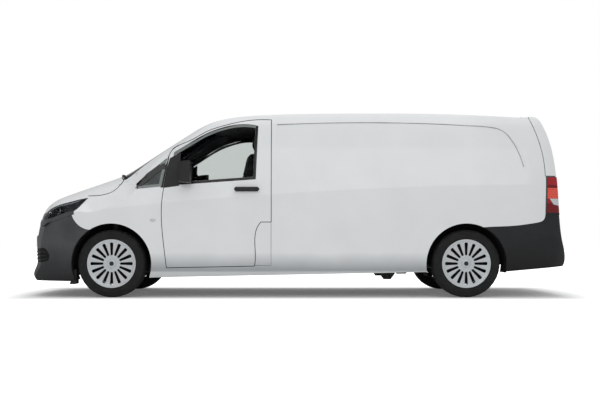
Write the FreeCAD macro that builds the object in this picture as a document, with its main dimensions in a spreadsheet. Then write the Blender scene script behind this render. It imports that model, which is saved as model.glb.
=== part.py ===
import FreeCAD, Part

import math
import os
import re

import Sketcher

# Panel van with an extra-long body: hollow cab and load space, hinged front doors,
# hood, tailgate and fuel flap, steered front wheels, four turning wheels.
# Frame: X runs to the rear, the left side is at -Y, Z is up, and the origin is on
# the ground under the middle of the van.

doc = FreeCAD.newDocument("panel_van")
sheet = doc.addObject("Spreadsheet::Sheet", "sizes")
marks = doc.addObject("App::VarSet", "marks")

SIZES = [
    # overall
    ("wheelbase", 3430),
    ("front_overhang", 905),
    ("rear_overhang", 1040),
    ("body_width", 1926),
    ("roof_height", 1848),
    ("sill_height", 240),
    ("waist_height", 988),
    ("wall", 50),
    ("shut_gap", 7),
    ("seat_gap", 0.3),
    ("glass_thickness", 6),
    ("glass_inset", 3),
    ("hinge_play", 2),
    # running gear
    ("track", 1650),
    ("tyre_diameter", 656),
    ("tyre_width", 214),
    ("rim_diameter", 470),
    ("wheel_slots", 16),
    ("arch_radius", 388),
    ("steer_room", 275),
    ("hub_radius", 66),
    ("disc_radius", 140),
    ("ball_pin", 12),
    # cab and load space
    ("floor_height", 560),
    ("floor_thickness", 60),
    ("cab_floor_height", 470),
    ("seat_spread", 400),
    ("rail_spread", 450),
    ("rail_width", 80),
    ("rib_count", 4),
]
known = {}
for row, (name, amount) in enumerate(SIZES, start=1):
    sheet.set(f"A{row}", name)
    sheet.set(f"B{row}", str(amount))
    sheet.setAlias(f"B{row}", name)
    known[name] = "sizes."
doc.recompute()


def size(name):
    return float(sheet.get(name))


def vec(x, y, z):
    return FreeCAD.Vector(x, y, z)


def full(text):
    """Expression with each size and mark named with its owner."""
    return re.sub(r"[a-z_]+", lambda word: known.get(word.group(0), "") + word.group(0), str(text))


def value(text):
    """What an expression gives now."""
    return float(marks.evalExpression(full(text)))


def mark(name, text):
    """Names a place or length that follows from the sizes, and returns its value."""
    marks.addProperty("App::PropertyFloat", name)
    marks.setExpression(name, full(text))
    marks.recompute()
    known[name] = "marks."
    return getattr(marks, name)


# Places that the whole van shares
length = mark("length", "wheelbase + front_overhang + rear_overhang")
nose_x = mark("nose_x", "-length / 2")
tail_x = mark("tail_x", "length / 2")
front_axle = mark("front_axle", "nose_x + front_overhang")
rear_axle = mark("rear_axle", "front_axle + wheelbase")
axle_height = mark("axle_height", "tyre_diameter / 2")
half_width = mark("half_width", "body_width / 2")
load_floor = mark("load_floor", "floor_height")
floor_under = mark("floor_under", "floor_height - floor_thickness")
cab_floor = mark("cab_floor", "cab_floor_height")
inside = mark("inside", "half_width - wall - 12")
door_front = mark("door_front", "front_axle + 491")
door_rear = mark("door_rear", "front_axle + 1541")
bulkhead_x = mark("bulkhead_x", "door_rear + 45")
kingpin = mark("kingpin", "track / 2 - 80")
strut_y = mark("strut_y", "track / 2 - 205")
hub_face = mark("hub_face", "track / 2 + 52")
front_room = mark("front_room", "track / 2 - steer_room")
rear_room = mark("rear_room", "track / 2 - tyre_width / 2 - 32")
bead_radius = mark("bead_radius", "rim_diameter / 2 - 11")
knuckle_foot = mark("knuckle_foot", "axle_height - 78")
knuckle_head = mark("knuckle_head", "axle_height + 96")
roof = size("roof_height")
sill = size("sill_height")
waist = size("waist_height")
wall = size("wall")
gap = size("shut_gap")
seat = size("seat_gap")
play = size("hinge_play")


# Tools for document objects: every size is an expression on the sheet or the marks

def pin_place(obj, x=None, y=None, z=None):
    for axis, text in (("x", x), ("y", y), ("z", z)):
        if text is not None:
            obj.setExpression("Placement.Base." + axis, full(text))
    return obj


def box(name, x, y, z):
    """Box between two expressions along each axis."""
    obj = doc.addObject("Part::Box", name)
    for prop, (low, high) in (("Length", x), ("Width", y), ("Height", z)):
        obj.setExpression(prop, full(f"({high}) - ({low})"))
    return pin_place(obj, x[0], y[0], z[0])


def leaned(name, kind, lengths, spot, axis):
    """Round primitive stood on a spot of three expressions, with its own axis along axis."""
    obj = doc.addObject("Part::" + kind, name)
    for prop, text in lengths.items():
        obj.setExpression(prop, full(text))
    obj.Placement = FreeCAD.Placement(vec(0, 0, 0), FreeCAD.Rotation(vec(0, 0, 1), axis))
    return pin_place(obj, *spot)


AXES = {"x": vec(1, 0, 0), "y": vec(0, 1, 0), "z": vec(0, 0, 1)}


def rod(name, axis, radius, run, **spot):
    """Cylinder along an axis from one expression to the other, at the other two places."""
    spot[axis] = run[0]
    lengths = {"Radius": radius, "Height": f"({run[1]}) - ({run[0]})"}
    return leaned(name, "Cylinder", lengths, (spot["x"], spot["y"], spot["z"]), AXES[axis])


def fuse(name, *parts):
    obj = doc.addObject("Part::MultiFuse", name)
    obj.Shapes = list(parts)
    return obj


def cut(name, base, tool):
    obj = doc.addObject("Part::Cut", name)
    obj.Base = base
    obj.Tool = tool
    return obj


def common(name, base, tool):
    obj = doc.addObject("Part::Common", name)
    obj.Base = base
    obj.Tool = tool
    return obj


def group(name, *parts):
    obj = doc.addObject("Part::Compound", name)
    obj.Links = list(parts)
    return obj


def mirror(name, source):
    obj = doc.addObject("Part::Mirroring", name)
    obj.Source = source
    obj.Normal = vec(0, 1, 0)
    return obj


def origin(body, role):
    return [item for item in body.Origin.OriginFeatures if item.Role == role][0]


def sketch(body, role, points):
    """Closed sketch of straight lines whose corners are pinned by two expressions each."""
    result = body.newObject("Sketcher::SketchObject", body.Name + "_outline")
    result.AttachmentSupport = [(origin(body, role), "")]
    result.MapMode = "FlatFace"
    corners = [vec(value(u), value(v), 0) for u, v in points]
    for i, corner in enumerate(corners):
        result.addGeometry(Part.LineSegment(corner, corners[(i + 1) % len(corners)]))
    for i in range(len(corners)):
        result.addConstraint(Sketcher.Constraint("Coincident", i, 2, (i + 1) % len(corners), 1))
    for i, pair in enumerate(points):
        for kind, text in zip(("DistanceX", "DistanceY"), pair):
            index = result.addConstraint(Sketcher.Constraint(kind, i, 1, value(text)))
            result.setExpression(f"Constraints[{index}]", full(text))
    return result


def pad(name, points, start, end, role="XZ_Plane"):
    """Body with an outline (x, z) padded along Y from start to end, or (x, y) padded along Z."""
    body = doc.addObject("PartDesign::Body", name)
    profile = sketch(body, role, points)
    feature = body.newObject("PartDesign::Pad", name + "_pad")
    feature.Profile = profile
    feature.setExpression("Length", full(f"({end}) - ({start})"))
    doc.recompute()
    return pin_place(body, y=end) if role == "XZ_Plane" else pin_place(body, z=start)


def turned(name, points):
    """Body turned about Y from an outline of (radius, offset)."""
    body = doc.addObject("PartDesign::Body", name)
    profile = sketch(body, "XY_Plane", points)
    feature = body.newObject("PartDesign::Revolution", name + "_turn")
    feature.Profile = profile
    feature.ReferenceAxis = (profile, ["V_Axis"])
    feature.Angle = 360
    doc.recompute()
    return body


def rounded(body, radius, wanted):
    """Adds a fillet to the edges of the body's tip that pass the test."""
    base = body.Tip
    names = [f"Edge{i}" for i, edge in enumerate(base.Shape.Edges, start=1) if wanted(edge)]
    feature = body.newObject("PartDesign::Fillet", body.Name + "_round")
    feature.Base = (base, names)
    feature.setExpression("Radius", full(radius))
    doc.recompute()
    return body


def form(name, shape):
    """Document object for a free-form shape."""
    obj = doc.addObject("Part::Feature", name)
    obj.Shape = shape
    return obj


# Control grids and forms

def ramp(rows, x):
    """Straight-line value at x from rows of (x, value)."""
    if x <= rows[0][0]:
        return rows[0][1]
    for (x0, v0), (x1, v1) in zip(rows, rows[1:]):
        if x <= x1:
            return v0 + (v1 - v0) * (x - x0) / (x1 - x0)
    return rows[-1][1]


def surface(grid, degree=3):
    """Clamped B-spline surface over a grid of control points."""
    def knots(count):
        spans = count - degree
        mults = [degree + 1] + [1] * (spans - 1) + [degree + 1]
        return mults, [float(i) for i in range(spans + 1)]
    u_mults, u_knots = knots(len(grid))
    v_mults, v_knots = knots(len(grid[0]))
    result = Part.BSplineSurface()
    result.buildFromPolesMultsKnots(
        grid, u_mults, v_mults, u_knots, v_knots, False, False, degree, degree)
    return result


def sew(faces):
    shell = Part.makeShell(faces)
    shell.sewShape()
    solid = Part.makeSolid(shell)
    if solid.Volume < 0:
        solid.reverse()
    return solid


def flat_face(edges):
    return Part.Face(Part.Wire(Part.__sortEdges__(edges)))


# Centre-line profile seen from the side, as (distance behind a mark, height).
NOSE = [(75, -60), (72, 60), (58, 154), (8, 190), (-12, 240), (12, 290), (36, 345),
        (29, 430), (27, 520), (37, 610), (54, 705), (76, 780), (104, 850), (146, 912),
        (210, 962), (275, 995), (355, 1027), (455, 1065), (575, 1107), (694, 1147),
        (814, 1189), (895, 1218)]
SCREEN = [(963, 1250), (1141, 1362), (1319, 1478), (1497, 1592), (1674, 1697),
          (1805, 1752), (1945, 1790)]
ROOF = [(-1244, -32), (-1066, -20), (-760, -6), (200, 2), (850, -8), (1250, -28), (1500, -42)]
TAIL = [(-400, 1798), (-318, 1788), (-250, 1750), (-185, 1618), (-130, 1460), (-95, 1250),
        (-75, 1035), (-66, 860), (-54, 740), (-44, 640), (-26, 540), (0, 455), (8, 385),
        (0, 310), (-60, 262), (-115, 180), (-145, 60), (-145, -60)]
drawn_roof = 1848
cowl_z = 1218
middle_x = 700
LATERAL = [-1, -.88, -.79, -.70, -.60, -.48, -.26, 0, .26, .48, .60, .70, .79, .88, 1]


def top_profile():
    """The whole profile; what lies above the cowl follows the roof's height."""
    lift = (roof - cowl_z) / (drawn_roof - cowl_z)
    points = [(nose_x + dx, z) for dx, z in NOSE]
    points += [(nose_x + dx, cowl_z + (z - cowl_z) * lift) for dx, z in SCREEN]
    points += [(middle_x + dx, roof + dz) for dx, dz in ROOF]
    points += [(tail_x + dx, cowl_z + (z - cowl_z) * (lift if z > cowl_z else 1)) for dx, z in TAIL]
    return points


def top_grid(inset, spread=1100):
    """Control grid of the nose, hood, screen, roof and tail, bowed in plan and crowned."""
    profile = top_profile()
    cowl, header = nose_x + 905, nose_x + 2100
    grid = []
    for i, (x, z) in enumerate(profile):
        before = profile[max(0, i - 1)]
        after = profile[min(len(profile) - 1, i + 1)]
        run, rise = after[0] - before[0], after[1] - before[1]
        slant = math.hypot(run, rise)
        nx, nz = rise / slant, -run / slant
        if i in (0, len(profile) - 1):
            nx, nz = math.copysign(1, nx), 0
        bow = ramp([(cowl, 1 / 2300), (cowl + 600, 1 / 2500), (header + 100, 0),
                    (tail_x - 700, 0), (tail_x - 240, -1 / 5500)], x)
        crown = ramp([(nose_x + 200, 1 / 9000), (nose_x + 500, 1 / 5000), (cowl, 1 / 5000),
                      (cowl + 300, 1 / 9000), (header, 1 / 6000), (tail_x - 430, 1 / 6000),
                      (tail_x - 265, 0)], x)
        shoulder = ramp([(nose_x + 100, 0), (nose_x + 400, 120), (cowl, 120), (cowl + 200, 0)], x)
        corner = 60 if x < nose_x + 700 else 0
        row = []
        for part in LATERAL:
            y = part * spread
            px = x + nx * inset + bow * y * y / 2 + corner * max(0, (abs(y) - 600) / 400) ** 2
            pz = z + nz * inset - crown * y * y / 2 - shoulder * max(0, min(1.3, (abs(y) - 560) / 340)) ** 2
            if i in (0, len(profile) - 1):
                pz = z
            row.append(vec(px, y, pz))
        grid.append(row)
    return grid


def top_form(inset):
    grid = top_grid(inset)
    form = surface(grid)
    u0, u1, v0, v1 = form.bounds()
    front, rear = form.uIso(u0).toShape(), form.uIso(u1).toShape()
    left, right = form.vIso(v0).toShape(), form.vIso(v1).toShape()
    left_line = Part.makeLine(grid[0][0], grid[-1][0])
    right_line = Part.makeLine(grid[0][-1], grid[-1][-1])
    return sew([form.toShape(), flat_face([left, left_line]), flat_face([right, right_line]),
                flat_face([front, right_line, rear, left_line])])


def waist_line(x):
    """Height of the crease along the side, which rises and flattens to the rear."""
    reach = (tail_x - 200 - x) / 4100
    return waist + 104 - 211 * reach ** 2


STATIONS = [-2950, -2690, -2560, -2430, -2300, -2150, -1980, -1750, -1350, -700, 0, 700, 1300,
            1800, 2200, 2400, 2500, 2600, 2700, 2950]


def plan_taper(x):
    """How far the side is drawn in at x, seen from above."""
    taper = 0
    ahead = front_axle - 150 - x
    if ahead > 0:
        taper += 600 * (ahead / 1000) ** 2.6
    behind = x - (rear_axle - 200)
    if behind > 0:
        taper += 38 * (behind / 1000) ** 2
    corner = x - (tail_x - 290)
    if corner > 0:
        taper += 110 * (corner / 250) ** 2
    return taper


def section(x):
    """Side section at x as three runs of (half width, height) that meet in creases."""
    low = sill - 28 + 0.026 * x
    crease = sill + 202 + 0.04 * x
    belt = waist_line(x)
    cab = ramp([(front_axle - 100, 60), (front_axle + 900, 0)], x)
    tall = roof - drawn_roof
    lower = [(-112, -100), (-96, 120), (-62, low), (-14, low + 62), (-9, crease)]
    middle = [(-9, crease), (-2, crease + 0.3 * (belt - crease)), (2, crease + 0.6 * (belt - crease)),
              (2, belt - 60), (0, belt)]
    upper = [(0, belt), (-10, belt + 80), (-28 - 0.3 * cab, 1220), (-58 - 0.8 * cab, 1420),
             (-104 - cab, 1600 + tall / 2), (-150 - cab, 1730 + tall), (-225 - cab, 1830 + tall),
             (-440 - cab, 2050 + tall)]
    inward = plan_taper(x)
    return [[(half_width + y - inward, z) for y, z in run] for run in (lower, middle, upper)]


def side_form(inset):
    """Solid between the two side skins, far wider than the roof in height."""
    faces = []
    columns = [section(x) for x in STATIONS]
    for run in range(3):
        for sign in (-1, 1):
            grid = [[vec(x, sign * (y - inset), z) for y, z in column[run]]
                    for x, column in zip(STATIONS, columns)]
            faces.append(surface(grid))
    ends = []
    for u_end in (0, 1):
        edges = []
        for face in faces:
            u0, u1, v0, v1 = face.bounds()
            edges.append(face.uIso(u1 if u_end else u0).toShape())
        for v_end, pair in ((0, (0, 1)), (1, (4, 5))):
            tips = []
            for k in pair:
                u0, u1, v0, v1 = faces[k].bounds()
                tips.append(faces[k].value(u1 if u_end else u0, v1 if v_end else v0))
            edges.append(Part.makeLine(*tips))
        ends.append(flat_face(edges))
    for v_end, pair in ((0, (0, 1)), (1, (4, 5))):
        rims = []
        for k in pair:
            u0, u1, v0, v1 = faces[k].bounds()
            rims.append(faces[k].vIso(v1 if v_end else v0).toShape())
        ends.append(Part.makeRuledSurface(*rims))
    return sew([face.toShape() for face in faces] + ends)


def hull(inset):
    return top_form(inset).common(side_form(inset)).Solids[0]


# Outlines and cutters

def closed_wire(runs, place):
    """Closed wire from runs of (u, v) points: two points give a line, more give a spline."""
    edges = []
    for run in runs:
        points = [place(u, v) for u, v in run]
        if len(points) == 2:
            edges.append(Part.makeLine(*points))
        else:
            curve = Part.BSplineCurve()
            curve.interpolate(points)
            edges.append(curve.toShape())
    return Part.Wire(edges)


def polygon(points):
    """Runs of a closed straight-sided outline."""
    return [[a, b] for a, b in zip(points, points[1:] + points[:1])]


def flat_outline(runs, place, offset):
    """Face of an outline grown by offset, its offset curves turned into splines."""
    face = Part.Face(closed_wire(runs, place))
    if not offset:
        return face
    edges = []
    for edge in face.makeOffset2D(offset).OuterWire.Edges:
        straight = edge.Curve.TypeId == "Part::GeomLine"
        edges.append(edge if straight else edge.toNurbs().Edges[0])
    return flat_face(edges)


def side_prism(runs, y0, y1, offset=0):
    """Outline in side view (x, z), grown by offset and run from y0 to y1."""
    return flat_outline(runs, lambda u, v: vec(u, y0, v), offset).extrude(vec(0, y1 - y0, 0))


def front_prism(runs, x0, x1, offset=0):
    """Outline in front view (y, z), grown by offset and run from x0 to x1."""
    return flat_outline(runs, lambda u, v: vec(x0, u, v), offset).extrude(vec(x1 - x0, 0, 0))


def block(x0, x1, y0, y1, z0, z1):
    return Part.makeBox(x1 - x0, y1 - y0, z1 - z0, vec(x0, y0, z0))


def mirrored(shape):
    return shape.mirror(vec(0, 0, 0), vec(0, 1, 0))


def both_sides(shape):
    return Part.makeCompound([shape, mirrored(shape)])


FAR = 3000
SIDE_OUT = -half_width - 100
SIDE_IN = -400

# Marks that the panels share, in side view.
door_top = roof - 120
door_foot = sill + 60
flap_front = door_rear - 148
flap_top = 726
tail_shut = tail_x - 285
bumper_top = sill + 470
glass_line = size("glass_inset")
glass_back = glass_line + size("glass_thickness")
flange = glass_back + seat
flange_lap = 20
glass_border = 28
gate_front = tail_x - 398
lamp_foot = sill + 577
lamp_head = sill + 932
lamp_inner = 505
light_inner = 735
gate_side = light_inner - gap
gate_sill = bumper_top - 92
roof_front = front_axle + 1150
roof_joint = roof - 96

DOOR = [
    [(door_rear, door_top), (door_rear, flap_top + gap)],
    [(door_rear, flap_top + gap), (flap_front + 50, flap_top + gap)],
    [(flap_front + 50, flap_top + gap), (flap_front + 4, 655), (flap_front - 8, 480),
     (flap_front - 14, door_foot + 8)],
    [(flap_front - 14, door_foot + 8), (door_front + 45, door_foot - 8)],
    [(door_front + 45, door_foot - 8), (door_front + 8, 629), (door_front, 880),
     (door_front + 20, 1068), (door_front + 66, 1374)],
    [(door_front + 66, 1374), (door_front + 82, 1410), (door_front + 274, 1524),
     (door_front + 423, 1609), (door_front + 572, 1663), (door_front + 771, 1712),
     (door_rear, door_top)],
]
DOOR_WINDOW = [
    [(door_front + 72, 1083), (door_rear - 146, 1142)],
    [(door_rear - 146, 1142), (door_rear - 124, 1668)],
    [(door_rear - 124, 1668), (door_front + 715, 1683), (door_front + 566, 1650),
     (door_front + 414, 1590), (door_front + 264, 1502), (door_front + 112, 1408)],
    [(door_front + 112, 1408), (door_front + 72, 1083)],
]
QUARTER_WINDOW = [
    [(front_axle + 250, 1050), (door_front - 8, 1072)],
    [(door_front - 8, 1072), (door_front + 47, 1352)],
    [(door_front + 47, 1352), (front_axle + 370, 1216), (front_axle + 234, 1100)],
    [(front_axle + 234, 1100), (front_axle + 250, 1050)],
]
FLAP_ZONE = [
    [(door_rear, flap_top), (flap_front - 40, flap_top)],
    [(flap_front - 40, flap_top), (flap_front - 40, door_foot + 12)],
    [(flap_front - 40, door_foot + 12), (door_rear, door_foot + 12)],
    [(door_rear, door_foot + 12), (door_rear, flap_top)],
]
BLIND_WINDOW = [
    [(door_rear + 60, 1145), (door_rear + 60, roof - 166)],
    [(door_rear + 60, roof - 166), (tail_x - 1900, roof - 147), (tail_x - 1100, roof - 168),
     (tail_x - 780, roof - 195)],
    [(tail_x - 780, roof - 195), (tail_x - 660, roof - 235), (tail_x - 560, roof - 350),
     (tail_x - 490, 1380), (tail_x - 462, 1215)],
    [(tail_x - 462, 1215), (door_rear + 60, 1145)],
]
HEADLIGHT = [
    [(front_axle - 385, 968), (front_axle - 480, 945), (front_axle - 620, 900),
     (front_axle - 715, 855), (front_axle - 790, 790)],
    [(front_axle - 790, 790), (front_axle - 740, 712)],
    [(front_axle - 740, 712), (front_axle - 600, 760), (front_axle - 382, 818)],
    [(front_axle - 382, 818), (front_axle - 310, 850), (front_axle - 385, 968)],
]
HOOD = [
    [(nose_x - 100, 872), (nose_x + 135, 872)],
    [(nose_x + 135, 872), (front_axle - 640, 935), (front_axle - 455, 985), (front_axle - 250, 990),
     (front_axle - 60, 1008), (front_axle + 20, 1050), (front_axle + 78, 1140),
     (front_axle + 105, 1200)],
    [(front_axle + 105, 1200), (front_axle + 105, 1400)],
    [(front_axle + 105, 1400), (nose_x - 100, 1400)],
    [(nose_x - 100, 1400), (nose_x - 100, 872)],
]
TAIL_LIGHT = [
    [(tail_x - 276, lamp_foot), (tail_x - 268, lamp_head)],
    [(tail_x - 268, lamp_head), (tail_x + 100, lamp_head)],
    [(tail_x + 100, lamp_head), (tail_x + 100, lamp_foot)],
    [(tail_x + 100, lamp_foot), (tail_x - 276, lamp_foot)],
]
TAILGATE = [
    [(tail_x + 100, lamp_head + gap), (tail_x - 270, lamp_head + gap)],
    [(tail_x - 270, lamp_head + gap), (tail_x - 284, 1365), (tail_x - 330, 1560), (gate_front, roof - 100)],
    [(gate_front, roof - 100), (gate_front, roof + 100)],
    [(gate_front, roof + 100), (tail_x + 100, roof + 100)],
    [(tail_x + 100, roof + 100), (tail_x + 100, lamp_head + gap)],
]
FRONT_BUMPER = [
    [(nose_x - 100, 100), (nose_x - 100, 716)],
    [(nose_x - 100, 716), (front_axle - 790, 716)],
    [(front_axle - 790, 716), (front_axle - 700, 712), (front_axle - 460, 776), (front_axle - 382, 806)],
    [(front_axle - 382, 806), (front_axle - 330, 715), (front_axle - 250, 664), (front_axle - 190, 655)],
    [(front_axle - 190, 655), (front_axle - 190, 100)],
    [(front_axle - 190, 100), (nose_x - 100, 100)],
]
REAR_BUMPER = [
    [(rear_axle + 110, 100), (rear_axle + 110, 672)],
    [(rear_axle + 110, 672), (rear_axle + 400, 690), (tail_x - 370, 722), (tail_x - 300, 745),
     (tail_x - 276, 806)],
    [(tail_x - 276, 806), (tail_x + 100, 806)],
    [(tail_x + 100, 806), (tail_x + 100, 100)],
    [(tail_x + 100, 100), (rear_axle + 110, 100)],
]
GRILLE = [
    [(-540, 620), (540, 620)],
    [(540, 620), (575, 660), (560, 700)],
    [(560, 700), (490, 712)],
    [(490, 712), (470, 862)],
    [(470, 862), (-470, 862)],
    [(-470, 862), (-490, 712)],
    [(-490, 712), (-560, 700)],
    [(-560, 700), (-575, 660), (-540, 620)],
]
INTAKE = polygon([(-560, 300), (560, 300), (520, 440), (-520, 440)])
A_POST = polygon([(front_axle - 60, 1180), (door_front - 40, 1010), (door_front + 200, 1010),
                  (door_front + 200, 2000), (front_axle - 60, 2000)])
SCREEN_HOLE = [
    [(-700, 1150), (700, 1150)],
    [(700, 1150), (640, 1500), (560, 1700), (530, roof - 110)],
    [(530, roof - 110), (0, roof - 96), (-530, roof - 110)],
    [(-530, roof - 110), (-560, 1700), (-640, 1500), (-700, 1150)],
]
SLIDING_DOOR = polygon([(door_rear + 70, door_foot), (door_rear + 1130, door_foot + 20),
                        (door_rear + 1130, roof_joint - 14), (door_rear + 70, roof_joint - 14)])
GATE_WINDOW = [
    [(-560, 1130), (560, 1130)],
    [(560, 1130), (590, 1300), (540, 1560)],
    [(540, 1560), (-540, 1560)],
    [(-540, 1560), (-590, 1300), (-560, 1130)],
]


# Body skin and the hulls that split it into layers

outer = hull(0)
glass_outer = hull(glass_line)
glass_inner = hull(glass_back)
flange_hull = hull(flange)
inner = hull(wall)
left_half = block(-FAR, FAR, -FAR, 0, -200, FAR)
skin = outer.cut(inner)
skin_left = skin.common(left_half)
glass_layer = glass_outer.cut(glass_inner)
flange_layer = outer.cut(flange_hull).common(left_half)
deep_layer = flange_hull.cut(inner).common(left_half)


def left_prism(runs, offset=0):
    return side_prism(runs, SIDE_OUT, SIDE_IN, offset)


def full_prism(runs, offset=0):
    return side_prism(runs, -FAR, FAR, offset)


def nose_prism(runs, offset=0):
    return front_prism(runs, nose_x - 50, nose_x + 400, offset)


def tail_prism(runs, offset=0):
    return front_prism(runs, tail_x - 400, tail_x + 50, offset)


def largest(shape):
    return max(shape.Solids, key=lambda solid: solid.Volume)


def without(shape, *tools):
    for tool in tools:
        shape = shape.cut(tool)
    return shape


def pair(tool):
    return [tool, mirrored(tool)]


def arch_tool(x, room):
    """Wheel space of the left side, open outwards, reaching in to room from the middle."""
    return Part.makeCylinder(size("arch_radius"), FAR, vec(x, -FAR - room, axle_height), vec(0, 1, 0))


front_arch = arch_tool(front_axle, front_room)
rear_arch = arch_tool(rear_axle, rear_room)
sill_cut = side_prism(polygon([
    (nose_x - 100, -200), (tail_x + 100, -200), (tail_x + 100, 236), (tail_x - 60, 302),
    (tail_x - 650, 250), (rear_axle - 400, sill + 6), (front_axle + 400, sill - 46),
    (front_axle - 400, 156), (nose_x + 60, 160), (nose_x - 100, 172)]), -FAR, FAR)


# Hinges: a swan neck is a bar curved round its hinge's axis, fixed to the moving panel,
# that runs in a slot of the same curve in the panel beside it.

def ring_sector(hinge, half, angles, low, high):
    """Curved bar of a hinge, from the first angle to the last, low to high along its axis."""
    centre, start, turn, radius = hinge
    axis = start.cross(turn)

    def spot(r, angle):
        turned_by = math.radians(angle)
        return centre + start * (r * math.cos(turned_by)) + turn * (r * math.sin(turned_by))

    first, last = angles
    middle = (first + last) / 2
    near, far = radius - half, radius + half
    wire = Part.Wire([
        Part.Arc(spot(near, first), spot(near, middle), spot(near, last)).toShape(),
        Part.makeLine(spot(near, last), spot(far, last)),
        Part.Arc(spot(far, last), spot(far, middle), spot(far, first)).toShape(),
        Part.makeLine(spot(far, first), spot(near, first))])
    wire.translate(axis * low)
    return Part.Face(wire).extrude(axis * (high - low))


DOOR_HINGE = (vec(door_front, -half_width, 0), vec(1, 0, 0), vec(0, 1, 0), 34)
DOOR_HINGE_PLACES = (700, 985)
GATE_HINGE = (vec(gate_front + 2, 0, roof - 34), vec(1, 0, 0), vec(0, 0, -1), 34)
HOOD_HINGE = (vec(front_axle + 82.5, 0, cowl_z + 17), vec(-1, 0, 0), vec(0, 0, -1), 140)
FLAP_HINGE = (vec(door_rear, -half_width - 3, 0), vec(-1, 0, 0), vec(0, 1, 0), 22)
hood_hinge_y = 735
gate_hinge_y = 500
flap_hinge_z = 520
arm_half = 5
arm_width = 15


def hinge_arm(hinge, angles, place, half=arm_half, width=arm_width):
    return ring_sector(hinge, half, angles, place - width, place + width)


def hinge_slot(hinge, angles, place, half=arm_half, width=arm_width):
    return ring_sector(hinge, half + play, (angles[0] - 8, angles[1] + 6), place - width - seat,
                       place + width + seat)


DOOR_ARM, GATE_ARM, HOOD_ARM, FLAP_ARM = (10, 150), (50, 140), (75, 166), (35, 140)
hood_slot = hinge_slot(HOOD_HINGE, HOOD_ARM, hood_hinge_y)


# Panels

def door_handle(x, z):
    """Pull handle standing off the door on two feet."""
    y = -half_width - 28
    grip = block(x - 118, x + 118, y, y + 16, z - 20, z + 20)
    grip = grip.makeFillet(7, [e for e in grip.Edges if abs(e.BoundBox.ZLength) < 1 and e.Length > 100])
    feet = [block(x + dx - 16, x + dx + 16, y + 10, y + 60, z - 14, z + 14) for dx in (-98, 98)]
    return grip.fuse(feet)


def door():
    """Left front door: outer flange layer, deeper frame set in behind it, window rebate."""
    panel = flange_layer.common(left_prism(DOOR)).fuse(deep_layer.common(left_prism(DOOR, -flange_lap)))
    rebate = left_prism(DOOR_WINDOW, seat).cut(flange_hull)
    panel = without(panel, rebate, left_prism(DOOR_WINDOW, -glass_border))
    arms = [hinge_arm(DOOR_HINGE, DOOR_ARM, z) for z in DOOR_HINGE_PLACES]
    return panel.fuse([door_handle(door_rear - 232, 1046)] + arms)


def window(runs):
    return glass_layer.common(left_prism(runs))


def door_mirror():
    """Door mirror: tall rounded housing on an arm from the sail in the window's front corner."""
    x0, x1 = door_front + 168, door_front + 288
    y0, y1 = -half_width - 160, -half_width + 12
    housing = Part.makeLoft([
        closed_wire(polygon([(y0 + 14, 1122), (y1 - 10, 1112), (y1 - 8, 1285), (y0 + 26, 1296)]),
                    lambda u, v: vec(x0, u, v)),
        closed_wire(polygon([(y0 + 2, 1110), (y1, 1105), (y1, 1296), (y0 + 8, 1308)]),
                    lambda u, v: vec(x0 + 50, u, v)),
        closed_wire(polygon([(y0, 1108), (y1, 1105), (y1, 1298), (y0, 1310)]),
                    lambda u, v: vec(x1, u, v)),
    ], True, False)
    housing = housing.cut(block(x1 - 10, x1 + 10, y0 + 12, y1 - 14, 1122, 1290))
    arm = block(x0 + 20, x0 + 78, y1 - 30, y1 + 120, 1116, 1162).cut(glass_outer)
    sail = left_prism(polygon([(door_front + 84, 1092), (door_front + 285, 1102),
                               (door_front + 250, 1185), (door_front + 118, 1385)]))
    sail = outer.cut(glass_outer).common(sail)
    return housing.fuse([arm, sail])


def screen_zone(margin):
    """Everything behind the foot line of the windscreen, bowed forward in the middle."""
    return Part.makeCylinder(2300, 1200, vec(front_axle + 2300 - 22 - margin, 0, 950), vec(0, 0, 1))


def hood_guide(margin):
    """Block on the scuttle that carries the slot of the left swan neck of the hood."""
    centre = HOOD_HINGE[0]
    return block(centre.x + 30 - margin, centre.x + 95 + margin, -hood_hinge_y - 32 - margin,
                 -hood_hinge_y + 32 + margin, centre.z - 152 - margin, centre.z - 92 + margin)


def hood():
    panel = skin.common(full_prism(HOOD, -gap / 2)).cut(screen_zone(gap))
    arm = hinge_arm(HOOD_HINGE, HOOD_ARM, hood_hinge_y)
    return panel.fuse(pair(arm))


def tail_light():
    return skin_left.common(left_prism(TAIL_LIGHT)).cut(block(-FAR, FAR, -light_inner, 0, 0, FAR))


def headlight():
    return largest(skin_left.common(side_prism(HEADLIGHT, SIDE_OUT, -lamp_inner)))


lamp_seat = side_prism(HEADLIGHT, SIDE_OUT, seat - lamp_inner, seat)
light_seat = side_prism(TAIL_LIGHT, SIDE_OUT, seat - light_inner, seat)
grille_seat = nose_prism(GRILLE, seat)
quarter_seat = left_prism(QUARTER_WINDOW, seat).cut(flange_hull)


def grille():
    """Upper grille: frame round five slanted bars, filling the nose opening."""
    frame = skin.common(nose_prism(GRILLE)).cut(nose_prism(GRILLE, -26))
    bars = []
    for step in range(5):
        z = 664 + 40 * step
        bars.append(side_prism(polygon([(nose_x - 60, z - 12), (nose_x + 300, z + 10),
                                        (nose_x + 300, z + 24), (nose_x - 60, z + 6)]), -640, 640))
    slats = Part.makeCompound(bars).common(nose_prism(GRILLE, -25))
    return frame.fuse(slats.common(glass_outer).cut(inner).Solids)


def front_bumper():
    body = skin.common(full_prism(FRONT_BUMPER))
    return without(body, sill_cut, grille_seat, nose_prism(INTAKE), *pair(front_arch), *pair(lamp_seat))


def rear_bumper():
    body = skin.common(full_prism(REAR_BUMPER))
    return without(body, sill_cut, gate_zone(gap), *pair(rear_arch))


def gate_zone(margin):
    """Space that the tailgate takes: full width above the lamps, between them below."""
    lower = block(tail_x - 300, FAR, -gate_side - margin, gate_side + margin, gate_sill - margin, 1300)
    return full_prism(TAILGATE, margin).fuse(lower)


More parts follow.
